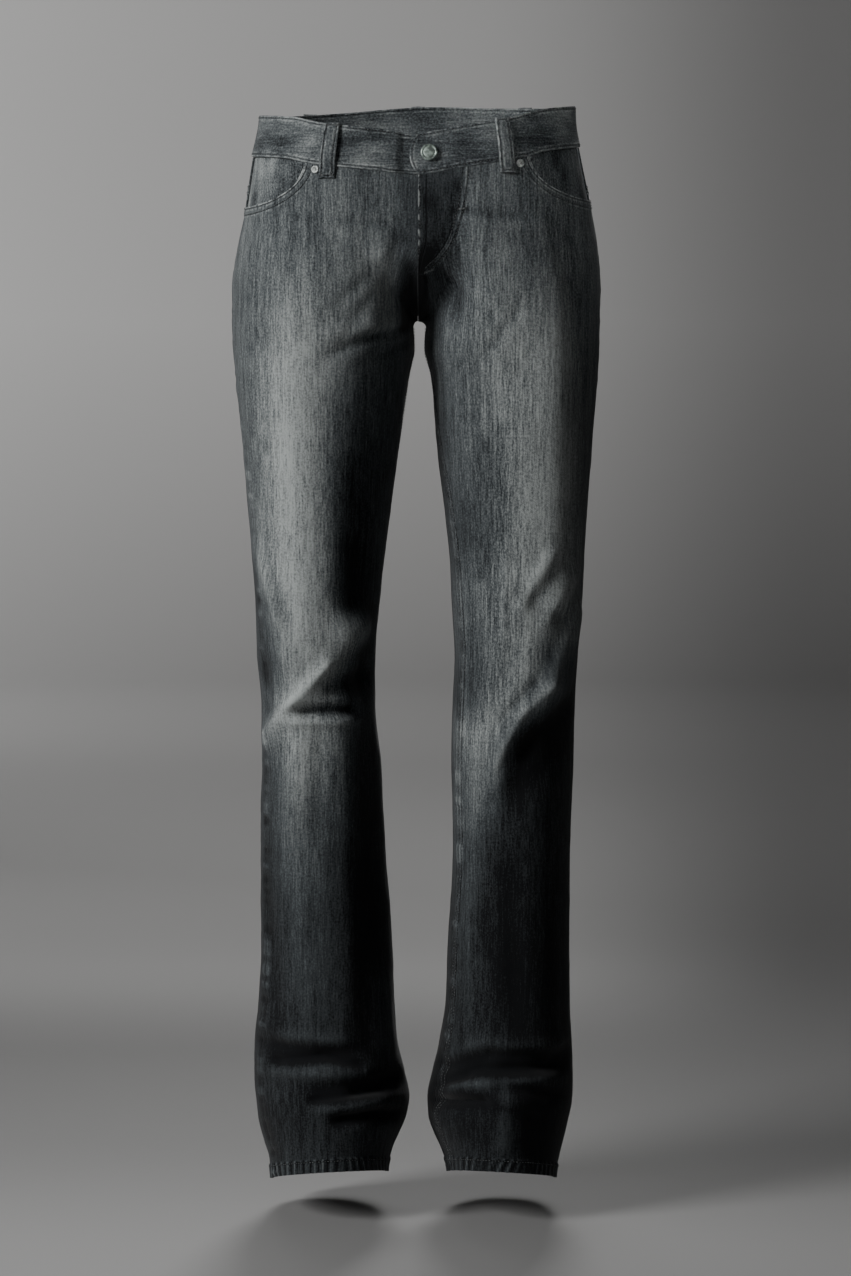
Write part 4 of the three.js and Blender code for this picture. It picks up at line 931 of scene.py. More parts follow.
def loop_path(girth, way):
    top = float(band_top(girth)) + 0.5
    seam = float(band_seam(girth))
    z = mix(top, seam - LOOP_BELOW, way)
    on_panel = ease((seam + 5 - z) / 8)
    rows = np.array(LOOP_ROWS)
    lift = np.interp(way, rows[:, 0], rows[:, 1])
    thick = np.interp(way, rows[:, 0], rows[:, 2])
    return z, mix(BAND_OUT + 0.4, 0.5, on_panel) + LOOP_ARCH * lift, thick * LOOP_THICK


def make_loop(word, girth):
    way = np.linspace(0, 1, LOOP_GRID[0])
    place = np.linspace(-0.5, 0.5, LOOP_GRID[1])
    z, base, thick = (v[:, None] for v in loop_path(girth, way))
    to_edge = (0.5 - np.abs(place)) * LOOP_WIDTH
    round_edge = -0.7 * (1 - ease(to_edge / 1.4))
    crown = 0.35 * ease((to_edge - 3.0) / 2.5) - 0.25 * np.exp(-((to_edge - LOOP_STITCH_IN) / 0.7) ** 2)
    wide = girth + 2 * place * LOOP_WIDTH / GIRTH
    z2 = z + 0.25 * WAVES.at(place * 5 + 3 * girth, z / 6)
    outer = girth_points(wide, z2, base + thick + round_edge + crown)
    inner = girth_points(wide, z2, base)
    uv = np.stack([np.broadcast_to(place * LOOP_WIDTH + 60 * girth, LOOP_GRID), z2], -1)
    to_end = np.minimum(way, 1 - way)[:, None] * 60
    fields = plain_fields(fade=0.38, to_mouth=np.minimum(to_edge, to_end))
    return shell(f"cloth_loop_{word}", outer, inner, uv, fields)


# Button and rivets, turned about the cloth's outward direction

BUTTON_PROFILE = [
    (0, 0.0), (2.0, 0.0), (2.0, 4.5), (6.8, 4.65), (7.8, 5.0), (8.2, 5.6), (8.2, 6.2),
    (7.95, 6.8), (7.5, 7.2), (7.0, 7.35), (6.5, 7.25), (6.15, 6.9), (5.9, 6.6), (5.6, 6.55),
    (5.3, 6.75), (5.0, 6.9), (4.0, 6.98), (2.8, 7.04), (1.4, 7.08), (0, 7.1)]
RIVET_PROFILE = [
    (0, 0.0), (3.9, 0.0), (4.0, 0.35), (3.9, 0.8), (3.5, 1.2), (3.0, 1.4), (2.5, 1.35),
    (2.1, 1.0), (1.8, 0.7), (1.5, 0.75), (1.2, 1.3), (0.8, 1.65), (0, 1.75)]


def make_turned(name, profile, x, z, out, steps=56):
    girth = girth_at_x(x, z)
    share, side = abs(girth), (1 if girth >= 0 else -1)
    axis = body_normal(side, "front", np.array(1 - 2 * share), np.array(z))
    base = girth_points(np.array(girth), z, out)
    u = np.cross(axis, [0, 0, 1.0])
    u /= np.linalg.norm(u)
    v = np.cross(u, axis)
    verts, faces = [base + axis * profile[0][1]], []
    turn = np.linspace(0, 2 * math.pi, steps, endpoint=False)
    for radius, along in profile[1:-1]:
        for t in turn:
            verts.append(base + axis * along + radius * (u * math.cos(t) + v * math.sin(t)))
    verts.append(base + axis * profile[-1][1])
    last = len(verts) - 1
    for k in range(steps):
        n = (k + 1) % steps
        faces.append((0, 1 + n, 1 + k))
        for r in range(len(profile) - 3):
            a = 1 + r * steps
            faces.append((a + k, a + n, a + steps + n, a + steps + k))
        a = 1 + (len(profile) - 3) * steps
        faces.append((a + k, a + n, last))
    points = np.array(verts)
    volume = sum(np.dot(points[f[0]] - base, np.cross(points[f[1]] - base, points[f[2]] - base))
                 for f in faces)
    if volume < 0:
        faces = [f[::-1] for f in faces]
    return new_object(name, points, faces)


# Materials

class Nodes:
    """Short helpers to wire a material's nodes."""

    def __init__(self, name):
        self.material = bpy.data.materials.new(name)
        self.material.use_nodes = True
        self.tree = self.material.node_tree
        self.shader = self.tree.nodes["Principled BSDF"]

    def add(self, kind, **settings):
        node = self.tree.nodes.new(kind)
        for key, value in settings.items():
            setattr(node, key, value)
        return node

    def put(self, socket, value):
        if isinstance(value, bpy.types.NodeSocket):
            self.tree.links.new(value, socket)
        elif value is not None:
            socket.default_value = value

    def field(self, name):
        return self.add("ShaderNodeAttribute", attribute_name=name).outputs["Fac"]

    def math(self, operation, a, b=None):
        node = self.add("ShaderNodeMath", operation=operation)
        for socket, value in zip(node.inputs, (a, b)):
            self.put(socket, value)
        return node.outputs[0]

    def look(self, **settings):
        """Plain numbers on the shader's own sockets."""
        for name, value in settings.items():
            self.shader.inputs[name.replace("_", " ")].default_value = value

    def spread(self, value, low, high, to_low=0.0, to_high=1.0, kind="SMOOTHSTEP"):
        node = self.add("ShaderNodeMapRange", interpolation_type=kind)
        for socket, item in zip(node.inputs, (value, low, high, to_low, to_high)):
            self.put(socket, item)
        return node.outputs[0]

    def ramp(self, value, low, high):
        return self.spread(value, low, high, kind="LINEAR")

    def line(self, distance, centre, half):
        """1 on a line at a distance, falling to 0 at half its width either side."""
        off = self.math("ABSOLUTE", self.math("SUBTRACT", distance, centre))
        return self.spread(off, 0.0, half, 1.0, 0.0)

    def lines(self, distance, half, *centres):
        return self.total(*[self.line(distance, centre, half) for centre in centres])

    def less(self, value, *parts):
        for part in parts:
            value = self.math("SUBTRACT", value, part)
        return value

    def relief(self, height, strength, distance):
        """Bump on the shader from a height."""
        bump = self.add("ShaderNodeBump")
        bump.inputs["Strength"].default_value = strength
        bump.inputs["Distance"].default_value = distance
        self.put(bump.inputs["Height"], height)
        self.put(self.shader.inputs["Normal"], bump.outputs[0])

    def scaled(self, scale, turn=0.0):
        coordinates = self.add("ShaderNodeUVMap", uv_map="cloth").outputs[0]
        node = self.add("ShaderNodeMapping")
        self.put(node.inputs["Vector"], coordinates)
        node.inputs["Scale"].default_value = scale
        node.inputs["Rotation"].default_value = (0, 0, turn)
        return node.outputs[0]

    def noise(self, vector, scale=1.0, detail=2.0, rough=0.5):
        node = self.add("ShaderNodeTexNoise")
        self.put(node.inputs["Vector"], vector)
        node.inputs["Scale"].default_value = scale
        node.inputs["Detail"].default_value = detail
        node.inputs["Roughness"].default_value = rough
        return node.outputs["Fac"]

    def blend(self, share, a, b):
        node = self.add("ShaderNodeMix", data_type="RGBA")
        self.put(node.inputs[0], share)
        self.put(node.inputs[6], a)
        self.put(node.inputs[7], b)
        return node.outputs[2]

    def total(self, *values):
        sum_ = values[0]
        for value in values[1:]:
            sum_ = self.math("ADD", sum_, value)
        return sum_

    def times(self, *values):
        product = values[0]
        for value in values[1:]:
            product = self.math("MULTIPLY", product, value)
        return product


DARK = (0.0030, 0.0036, 0.0046, 1)
MIDDLE = (0.060, 0.069, 0.074, 1)
LIGHT = (0.360, 0.384, 0.376, 1)


def grain_noises(n):
    """Slubs and mottling at five sizes, each from 0 to 1."""
    sizes = dict(pepper=(560, 430, 0.7), short=(640, 64, 0.6), slub=(300, 13, 0.55),
                 streak=(85, 4.2, 0.5), cloudy=(24, 15, 0.6))
    return {key: n.noise(n.scaled((u, v, 1)), 1.0, 2.0, rough)
            for key, (u, v, rough) in sizes.items()}


LEG_GRAIN = dict(pepper=2.9, short=2.5, slub=1.5, streak=1.0, cloudy=1.0)
EVEN_GRAIN = dict(pepper=3.6, short=1.8, slub=1.0, streak=0.5, cloudy=4.6)


def denim(name, strength=1.0, rows=EDGE_STITCHES, parts=LEG_GRAIN, edge=0.95):
    """Charcoal denim: slubs down the grain, dye fade with painted shade and light, rubbed seam edges
    with painted highlights, and twill.
    """
    n = Nodes(name)
    grain = grain_noises(n)
    patch = n.noise(n.scaled((120, 90, 1)), 1.0, 3.0, 0.65)
    fade, crease_wear_and_shade, pucker = n.field("fade"), n.field("crease_wear_and_shade"), n.field("pucker")
    to_edge, to_inner, to_side = n.field("to_mouth"), n.field("to_inner"), n.field("to_side")
    to_fly, to_hem, rope = n.field("to_fly"), n.field("to_hem"), n.field("rope")
    # rubbed lines beside the stitch rows, and a painted highlight along the fly edge, broken into
    # dashes
    dashes = n.noise(n.scaled((210, 190, 1)), 1.0, 1.0, 0.5)
    broken = n.spread(n.times(n.total(patch, dashes), 0.5), 0.42, 0.58)
    rim = n.line(to_edge, 1.0, 1.6)
    beside = n.total(n.line(to_edge, rows[0] + 2.0, 1.5),
                     n.times(n.line(to_edge, rows[1] + 1.6, 1.7), 0.8))
    groove = n.lines(to_edge, 1.0, *rows)
    inner_side = n.total(n.line(to_inner, 4.3, 1.4), n.times(n.line(to_inner, 10.2, 1.5), 0.5))
    inner_groove = n.lines(to_inner, 1.0, *INSEAM_STITCHES)
    fly_lines = n.total(n.line(to_fly, 1.9, 1.2), n.times(n.line(to_fly, -2.2, 1.4), 0.7))
    fly_groove = n.lines(to_fly, 1.0, *FLY_STITCHES)
    # painted shade in the pucker hollows by the seams, and lighter pucker crests that are partly rubbed
    # wear and partly painted highlight
    pucker_painted_shade = n.spread(pucker, -0.1, -0.95)
    near_seam = n.total(n.line(to_inner, 6.0, 8.0), n.line(to_side, 6.0, 10.0))
    pucker_wear_and_highlight = n.times(near_seam, n.spread(pucker, 0.1, 0.6))
    in_hem = n.spread(to_hem, 13.2, 15.2, 1.0, 0.0)
    rolls = n.times(in_hem, n.spread(rope, 0.1, 0.95))
    dips = n.times(in_hem, n.spread(rope, -0.1, -0.95))
    # painted highlight along the fly edge
    fly_edge_highlight = n.times(n.field("fly_edge_highlight"), n.line(to_inner, 1.5, 2.3), 1.35)
    light_lines = n.total(n.times(rim, edge), fly_edge_highlight, n.times(beside, 0.42),
                          n.times(inner_side, 0.22), n.times(fly_lines, 0.36),
                          n.times(n.line(to_inner, 0.8, 1.2), 0.3))
    dark_lines = n.total(groove, inner_groove, fly_groove, n.line(to_hem, HEM_STITCH, 1.2))
    rubbed_wear_and_highlight = n.times(light_lines, n.math("ADD", broken, 0.12), strength)
    # lightness from the fade with its painted shade and light, slubs, creases with their wear and
    # painted shade, and seams with their painted pucker shade and highlights
    texture = n.total(*[n.times(n.math("SUBTRACT", grain[key], 0.5), weight)
                        for key, weight in parts.items()])
    fleck = n.spread(n.noise(n.scaled((430, 24, 1)), 1.0, 1.0, 0.5), 0.60, 0.76)
    amount = n.math("ADD", fade, n.times(texture, n.math("ADD", n.times(fade, 0.42), 0.20)))
    amount = n.total(amount, n.times(crease_wear_and_shade, 0.20), n.times(rubbed_wear_and_highlight, 0.8),
                     n.times(fleck, fade, 0.24), n.times(pucker_wear_and_highlight, 0.30), n.times(rolls, 0.40))
    amount = n.less(amount, n.times(dark_lines, 0.28, strength),
                    n.times(near_seam, pucker_painted_shade, 0.20), n.times(dips, 0.22))
    amount = n.math("MINIMUM", amount, 1.6)
    low = n.ramp(amount, -0.05, 0.45)
    high = n.spread(amount, 0.28, 1.50)
    n.put(n.shader.inputs["Base Color"], n.blend(high, n.blend(low, DARK, MIDDLE), LIGHT))
    n.look(Roughness=0.9, Specular_IOR_Level=0.18, Sheen_Weight=0.08, Sheen_Roughness=0.5)
    # relief: seam rolls, twill lines and slubs
    relief = n.total(n.times(rim, broken, 0.3), n.times(beside, 0.3), n.times(inner_side, 0.3),
                     n.times(fly_lines, 0.3))
    relief = n.less(relief, n.times(dark_lines, 0.6))
    twill = n.add("ShaderNodeTexWave", wave_type="BANDS", bands_direction="X")
    n.put(twill.inputs["Vector"], n.scaled((1, 1, 1), 0.9))
    twill.inputs["Scale"].default_value = 190.0
    twill.inputs["Distortion"].default_value = 1.2
    fine = n.total(n.times(twill.outputs["Fac"], 0.10), n.times(grain["short"], 0.4),
                   n.times(grain["pepper"], 0.35), n.times(patch, 0.3))
    n.relief(n.math("ADD", relief, fine), 0.75, 0.0008)
    return n.material


def metal(name, color, rough, metallic):
    n = Nodes(name)
    coordinates = n.add("ShaderNodeTexCoord").outputs["Object"]
    spots = n.noise(coordinates, 900.0, 3.0, 0.6)
    broad = n.noise(coordinates, 260.0, 2.0, 0.5)
    dull = tuple(0.35 * c for c in color[:3]) + (1,)
    n.put(n.shader.inputs["Base Color"], n.blend(n.spread(broad, 0.35, 0.7), dull, color))
    n.put(n.shader.inputs["Roughness"], n.spread(spots, 0.2, 0.8, rough - 0.1, rough + 0.15))
    n.look(Metallic=metallic)
    n.relief(spots, 0.25, 0.0002)
    return n.material


def thread_material(name, low, high):
    n = Nodes(name)
    coordinates = n.add("ShaderNodeTexCoord").outputs["Object"]
    uneven = n.noise(coordinates, 420.0, 2.0, 0.6)
    n.put(n.shader.inputs["Base Color"], n.blend(n.spread(uneven, 0.35, 0.7), low, high))
    n.look(Roughness=0.7)
    return n.material


DENIM = denim("washed charcoal denim")
DENIM_BAND = denim("washed charcoal denim, banded edges", rows=(BAND_STITCH, FAR), parts=EVEN_GRAIN,
                   edge=0.5)
DENIM_DARK = denim("pocket and fly denim", strength=0.4, rows=(BAND_STITCH, FAR), parts=EVEN_GRAIN)
METAL = metal("antique silver", (0.42, 0.50, 0.45, 1), 0.5, 0.75)
# the rivets' silver is a lighter copy of the button's, painted light so the rivets read lit in the belt
# loops' shade
RIVET_METAL_LIGHTENED = metal("silver lightened as painted light", (0.72, 0.76, 0.73, 1), 0.5, 0.6)
THREAD = thread_material("charcoal sewing thread", (0.022, 0.024, 0.026, 1),
                         (0.150, 0.160, 0.160, 1))


# Stitches laid along lines by one node tree

def stitch_tree():
    tree = bpy.data.node_groups.new("Stitches along lines", "GeometryNodeTree")
    face = tree.interface
    face.new_socket("Geometry", in_out="INPUT", socket_type="NodeSocketGeometry")
    for name, value in (("Pitch", 0.003), ("Stitch Length", 0.0025), ("Thread", 0.0006),
                        ("Unevenness", 0.12)):
        socket = face.new_socket(name, in_out="INPUT", socket_type="NodeSocketFloat")
        socket.default_value = value
    seed = face.new_socket("Seed", in_out="INPUT", socket_type="NodeSocketInt")
    seed.default_value = 3
    face.new_socket("Material", in_out="INPUT", socket_type="NodeSocketMaterial")
    face.new_socket("Geometry", in_out="OUTPUT", socket_type="NodeSocketGeometry")
    add, link = tree.nodes.new, tree.links.new
    given, result = add("NodeGroupInput"), add("NodeGroupOutput")
    curve, even = add("GeometryNodeMeshToCurve"), add("GeometryNodeResampleCurve")
    even.mode = "LENGTH"
    ball = add("GeometryNodeMeshIcoSphere")
    ball.inputs["Radius"].default_value = 0.5
    ball.inputs["Subdivisions"].default_value = 1
    tangent, align = add("GeometryNodeInputTangent"), add("FunctionNodeAlignEulerToVector")
    align.axis = "X"
    uneven = add("FunctionNodeRandomValue")
    uneven.data_type = "FLOAT"
    less, more = add("ShaderNodeMath"), add("ShaderNodeMath")
    less.operation, more.operation = "SUBTRACT", "ADD"
    less.inputs[0].default_value = more.inputs[0].default_value = 1.0
    low, high = [socket for socket in uneven.inputs if socket.type == "VALUE"][:2]
    chosen = [socket for socket in uneven.outputs if socket.type == "VALUE"][0]
    size, scale = add("ShaderNodeCombineXYZ"), add("ShaderNodeVectorMath")
    scale.operation = "SCALE"
    place, real = add("GeometryNodeInstanceOnPoints"), add("GeometryNodeRealizeInstances")
    smooth, finish = add("GeometryNodeSetShadeSmooth"), add("GeometryNodeSetMaterial")
    for output, socket in (
            (given.outputs["Geometry"], curve.inputs["Mesh"]),
            (curve.outputs["Curve"], even.inputs["Curve"]),
            (given.outputs["Pitch"], even.inputs["Length"]),
            (tangent.outputs[0], align.inputs["Vector"]),
            (given.outputs["Seed"], uneven.inputs["Seed"]),
            (given.outputs["Unevenness"], less.inputs[1]),
            (given.outputs["Unevenness"], more.inputs[1]),
            (less.outputs[0], low), (more.outputs[0], high),
            (given.outputs["Stitch Length"], size.inputs[0]),
            (given.outputs["Thread"], size.inputs[1]), (given.outputs["Thread"], size.inputs[2]),
            (size.outputs[0], scale.inputs[0]), (chosen, scale.inputs["Scale"]),
            (even.outputs["Curve"], place.inputs["Points"]),
            (ball.outputs["Mesh"], place.inputs["Instance"]),
            (align.outputs[0], place.inputs["Rotation"]), (scale.outputs[0], place.inputs["Scale"]),
            (place.outputs[0], real.inputs[0]), (real.outputs[0], smooth.inputs[0]),
            (smooth.outputs[0], finish.inputs["Geometry"]),
            (given.outputs["Material"], finish.inputs["Material"]),
            (finish.outputs[0], result.inputs[0])):
        link(output, socket)
    return tree


STITCHES = stitch_tree()


def sew(name, lines, pitch=3.1, length=2.5, thread=0.7, seed=3):
    """A piece of stitches along lines of points in millimetres."""
    verts, edges = [], []
    for line in lines:
        start = len(verts)
        verts.extend(np.asarray(line) / 1000.0)
        edges.extend((start + k, start + k + 1) for k in range(len(line) - 1))
    mesh = bpy.data.meshes.new(name)
    mesh.from_pydata(verts, edges, [])
    holder = bpy.data.objects.new(name + "_lines", mesh)
    bpy.context.scene.collection.objects.link(holder)
    modifier = holder.modifiers.new("stitches", "NODES")
    modifier.node_group = STITCHES
    ids = {s.name: s.identifier for s in STITCHES.interface.items_tree
           if s.item_type == "SOCKET" and s.in_out == "INPUT"}
    modifier[ids["Pitch"]] = pitch / 1000
    modifier[ids["Stitch Length"]] = length / 1000
    modifier[ids["Thread"]] = thread / 1000
    modifier[ids["Seed"]] = seed
    modifier[ids["Material"]] = THREAD
    bpy.context.view_layer.update()
    made = bpy.data.meshes.new_from_object(holder.evaluated_get(
        bpy.context.evaluated_depsgraph_get()))
    bpy.data.objects.remove(holder)
    piece = bpy.data.objects.new(name, made)
    bpy.context.scene.collection.objects.link(piece)
    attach(piece, "root")


# The garment's pieces

def finish_piece(piece, node, material):
    piece.data.materials.append(material)
    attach(piece, "root")
    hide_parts(node)
    return piece


for side, word in WORDS.items():
    front = finish_piece(make_panel(side, "front"), f"front_{word}", DENIM)
    back = finish_piece(make_panel(side, "back"), f"back_{word}", DENIM)
    yoke = finish_piece(make_yoke(side), f"yoke_{word}", DENIM)
    facing = finish_piece(make_facing(side), f"pocket_facing_{word}", DENIM_DARK)
    pocket = finish_piece(make_back_pocket(side), f"back_pocket_{word}", DENIM)
    rivet_z = float(band_seam(girth_at_x(side * RIVET_X, SEAM_NEAR_Z))) - RIVET_BELOW
    rivet = make_turned(f"rivet_cap_{word}", RIVET_PROFILE, side * RIVET_X, rivet_z, 0.35, 40)
    finish_piece(rivet, f"rivet_{word}", RIVET_METAL_LIGHTENED)

for word, girth in LOOPS:
    loop = finish_piece(make_loop(word, girth), f"belt_loop_{word}", DENIM_BAND)
band = finish_piece(make_waistband(), "waistband", DENIM_BAND)
shield = finish_piece(make_fly_shield(), "fly_shield", DENIM_DARK)
button = make_turned("button_cap", BUTTON_PROFILE, BUTTON_X, BUTTON_Z, BAND_OUT - BAND_UNDER + 0.3)
finish_piece(button, "button", METAL)


# Stitch lines

def on_panel(side, half, across, z, out=0.35):
    return cloth(side, half, np.asarray(across, float), np.asarray(z, float), out)


def beside_inner(side, half, away, z, out):
    return on_panel(side, half, 1 - away / panel_width(side, half, z), z, out)


def flat_normals(line):
    step = np.gradient(line, axis=0)
    normal = np.stack([step[:, 1], -step[:, 0]], -1)
    return normal / np.linalg.norm(normal, axis=1, keepdims=True)


def offset_line(side, half, across, z, away):
    """A flat line moved to its lower side by a distance, as places again."""
    flat = flat_places(side, half, across, z)
    normal = flat_normals(flat)
    normal *= np.where(normal[:, 1:] > 0, -1, 1)
    moved = flat + normal * away
    return moved[:, 0] / panel_width(side, half, moved[:, 1]), moved[:, 1]


front_lines, leg_lines, back_lines, waist_lines = [], [], [], []
for side, word in WORDS.items():
    across, z, _ = mouth_line(side)
    for away in EDGE_STITCHES:
        a, b = offset_line(side, "front", across, z, away)
        keep = a > 0.004
        front_lines.append(on_panel(side, "front", a[keep], b[keep], 0.75))
    down = np.arange(CROTCH_Z - 8, HEM_Z + 1, -4.0)
    for away in INSEAM_STITCHES:
        leg_lines.append(beside_inner(side, "front", away, down, 0.75))
    a = np.linspace(0.003, 0.997, 90)
    for half in ("front", "back"):
        leg_lines.append(on_panel(side, half, a, HEM_Z + HEM_STITCH + 0 * a, HEM_RISE + 0.5))
    for away in EDGE_STITCHES:
        yoke_z = mix(YOKE_SIDE_Z, YOKE_CENTRE_Z, a) + away
        back_lines.append(on_panel(side, "back", a, yoke_z, 0.75))
    across, z = pocket_places()
    flat = flat_places(side, "back", across, z)
    centre = flat.reshape(-1, 2).mean(0)
    outline = np.concatenate([flat[:, 0], flat[-1, 1:], flat[::-1, -1][1:]])
    for away in EDGE_STITCHES:
        normal = flat_normals(outline)
        toward = np.sign(((centre - outline) * normal).sum(1, keepdims=True))
        moved = outline + normal * toward * away
        moved = moved[moved[:, 1] < flat[0, :, 1].min() - 1]
        share = moved[:, 0] / panel_width(side, "back", moved[:, 1])
        back_lines.append(on_panel(side, "back", share, moved[:, 1], POCKET_OUT + 0.45))
    a = across[0]
    for away in POCKET_TOP_STITCHES:
        back_lines.append(on_panel(side, "back", a[1:-1], z[0][1:-1] - away, POCKET_OUT + 0.75))

# centre back, fly and waist rows
down = np.linspace(-24, -190, 60)
for away in CENTRE_BACK_STITCHES:
    back_lines.append(beside_inner(1, "back", away, down, 0.8))


def fly_points(offset):
    line = fly_line(offset)
    across = [1 - 2 * girth_at_x(x, z) for x, z in line]
    return on_panel(1, "front", across, line[:, 1], FLY_RISE + 0.35)


front_lines += [fly_points(away) for away in FLY_STITCHES]
down = np.linspace(-56, -192, 50)
front_lines.append(beside_inner(1, "front", 2.2, down, FLY_RISE + 0.4))
girth = np.linspace(0.012, 2 + DIP_START - 0.004, 640)
for level in (BAND_STITCH, BAND_HEIGHT - BAND_STITCH):
    z = band_seam(girth) + level
    waist_lines.append(girth_points(girth, z, BAND_OUT + 0.25))
level = np.linspace(0.06, 0.94, 16)
waist_lines.append(girth_points(tab_end(level) + 2.4 * 2 / GIRTH, mix(
    band_seam(0.0), band_top(0.0), level), BAND_OUT + 0.25))
for word, girth in LOOPS:
    way = np.linspace(0.03, 0.97, 30)
    z, base, thick = loop_path(girth, way)
    for place in (-0.5 + LOOP_STITCH_IN / LOOP_WIDTH, 0.5 - LOOP_STITCH_IN / LOOP_WIDTH):
        waist_lines.append(girth_points(girth + 2 * place * LOOP_WIDTH / GIRTH, z,
                                        base + thick + 0.05))

sew("stitches_front", front_lines, seed=4)
sew("stitches_legs", leg_lines, seed=5)
sew("stitches_back", back_lines, seed=6)
sew("stitches_waist", waist_lines, seed=7)


# Bar tacks, as short dense rows of thread

def bar(points, width, turns):
    """Zigzag of thread over a short line, from its two ends and a sideways direction."""
    start, end, across = (np.asarray(v, float) for v in points)
    share = np.linspace(0, 1, turns)
    zigzag = np.where(np.arange(turns) % 2 == 0, -0.5, 0.5)[:, None]
    return start + (end - start) * share[:, None] + across * width * zigzag


tacks = []
for word, girth in LOOPS:
    for way in (0.045, 0.95):
        z, base, thick = loop_path(girth, np.array([way]))
        ends = [girth_points(girth + 2 * s * LOOP_WIDTH * 0.42 / GIRTH, z, base + thick + 0.25)[0]
                for s in (-1, 1)]
        tacks.append(bar([ends[0], ends[1], [0, 0, 1]], 1.8, 26))
for x, z in ((43.0, -91.0), (11.0, -152.0)):
    spots = [1 - 2 * girth_at_x(x + d, z) for d in (-4.5, 4.5)]
    ends = on_panel(1, "front", spots, [z, z + 1.0], FLY_RISE + 0.5)
    tacks.append(bar([ends[0], ends[1], [0, 0, 1]], 1.7, 22))
for side, word in WORDS.items():
    across, z = pocket_places()
    for column, inward in ((0, 1), (-1, -1)):
        a = across[0, column] + inward * 0.018
        ends = on_panel(side, "back", [a, a], [z[0, column] - 2, z[0, column] - 11],
                        POCKET_OUT + 0.8)
        tacks.append(bar([ends[0], ends[1], [1, 0, 0]], 1.8, 24))
sew("bar_tacks", tacks, pitch=0.9, length=1.5, thread=0.55, seed=8)


# Stage, light and camera

FLOOR_Z, ROOM_RADIUS, SWEEP_RADIUS, ROOM_TOP = -1098.0, 7500.0, 1500.0, 5600.0


def paper():
    """Pale paper with painted light and shade: darker away from the camera and towards the shaded side,
    standing in for the lamps' falloff.
    """
    n = Nodes("pale studio paper with painted shade")
    apart = n.add("ShaderNodeSeparateXYZ")
    n.put(apart.inputs[0], n.add("ShaderNodeTexCoord").outputs["Object"])
    x, y, z = apart.outputs
    grey = lambda painted_tone: (painted_tone, painted_tone * 0.99, painted_tone * 0.98, 1)
    aside = n.math("DIVIDE", x, n.math("MAXIMUM", n.math("ADD", y, 4.2), 1.0))
    right = n.spread(aside, 0.008, 0.10)
    painted_shade_pair = lambda left, dark: n.blend(right, grey(left), grey(dark))
    # the paper's tones are painted light and shade, standing in for the lamps' falloff
    painted_tone = n.blend(n.spread(y, -0.2, 0.4), painted_shade_pair(0.262, 0.225), painted_shade_pair(0.198, 0.14))
    painted_tone = n.blend(n.spread(y, 0.85, 1.6), painted_tone, painted_shade_pair(0.40, 0.135))
    painted_tone = n.blend(n.spread(y, 1.9, 4.3), painted_tone, painted_shade_pair(0.212, 0.105))
    painted_tone = n.blend(n.ramp(z, -1.12, -0.2), painted_tone, painted_shade_pair(0.355, 0.18))
    n.put(n.shader.inputs["Base Color"], painted_tone)
    n.look(Roughness=0.9)
    return n.material


def make_stage():
    """Round floor that sweeps up into a plain wall on every side."""
    turn = np.linspace(0, math.pi / 2, 14)
    flat = ROOM_RADIUS - SWEEP_RADIUS
    profile = [(flat * share, FLOOR_Z) for share in (0.25, 0.5, 0.75)]
    profile += [(flat + SWEEP_RADIUS * math.sin(t), FLOOR_Z + SWEEP_RADIUS * (1 - math.cos(t)))
                for t in turn]
    profile.append((ROOM_RADIUS, ROOM_TOP))
    steps = 96
    round_ = np.linspace(0, 2 * math.pi, steps, endpoint=False)
    verts = [(0, 0, FLOOR_Z)] + [(r * math.cos(t), r * math.sin(t), z)
                                 for r, z in profile for t in round_]
    faces = [(0, 1 + k, 1 + (k + 1) % steps) for k in range(steps)]
    for ring in range(len(profile) - 1):
        a, b = 1 + ring * steps, 1 + (ring + 1) * steps
        faces += [(a + k, b + k, b + (k + 1) % steps, a + (k + 1) % steps) for k in range(steps)]
    stage = new_object("studio_floor", verts, faces)
    stage.data.materials.append(paper())


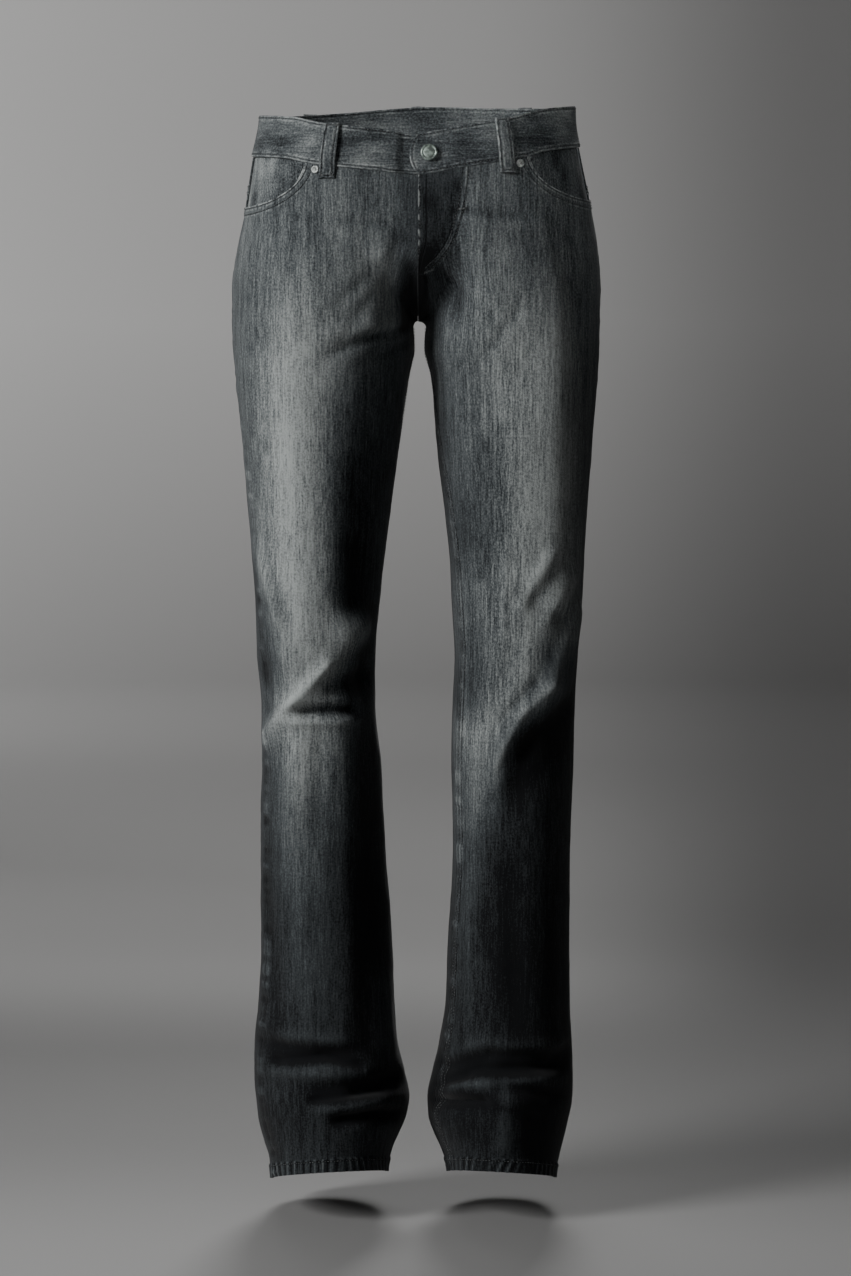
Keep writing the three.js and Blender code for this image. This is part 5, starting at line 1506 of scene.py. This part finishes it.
def area_light(name, place, target, size, power, spread):
    data = bpy.data.lights.new(name, "AREA")
    data.shape, data.size, data.size_y = "RECTANGLE", size[0], size[1]
    data.energy, data.spread = power, math.radians(spread)
    light = bpy.data.objects.new(name, data)
    bpy.context.scene.collection.objects.link(light)
    light.location = place
    light.visible_camera = False
    aim(light, target)


def aim(obj, target):
    direction = Vector(target) - Vector(obj.location)
    obj.rotation_euler = direction.to_track_quat("-Z", "Y").to_euler()


make_stage()
# Name, place, target, size, watts and spread of each lamp, in metres and degrees
for lamp in (
        ("key", (-2.45, -1.72, 0.90), (0, 0, -0.40), (1.1, 1.3), 104, 180),
        ("front_fill", (-0.3, -4.3, 1.2), (0, 0, -0.5), (1.6, 1.6), 5, 180),
        ("hip_fill", (1.7, -3.1, 1.3), (0.16, -0.06, -0.01), (0.15, 0.15), 0.05, 7),
        ("backdrop", (-3.0, 4.4, 1.2), (-1.6, 7.5, 0.2), (1.6, 1.6), 150, 180),
        ("behind", (0.35, 3.6, 1.9), (0, 0, -0.4), (1.2, 1.2), 7, 40),
        ("over_floor", (-0.4, 3.2, 2.6), (-0.4, 3.3, -1.1), (2.0, 2.0), 50, 180),
        ("front_wall", (-2.6, -5.0, 1.2), (-1.0, -7.5, 0.2), (1.5, 1.5), 25, 180),
        ("left_wall", (-5.0, 0.5, 1.2), (-7.5, 0.0, 0.2), (1.5, 1.5), 25, 180)):
    area_light(*lamp)
world = bpy.data.worlds.new("studio")
bpy.context.scene.world = world
world.use_nodes = True
sky = world.node_tree.nodes["Background"].inputs
sky[0].default_value, sky[1].default_value = (0.72, 0.74, 0.76, 1), 0.010

camera_data = bpy.data.cameras.new("camera")
camera = bpy.data.objects.new("camera", camera_data)
bpy.context.scene.collection.objects.link(camera)
camera_data.sensor_fit = "VERTICAL"
camera_data.sensor_height = 36.0
camera_data.lens = 113.2
camera_data.clip_end = 60
camera.location = (0.0075, -4.0, -0.20)
aim(camera, (0.0075, 0.0, -0.515))
bpy.context.scene.camera = camera
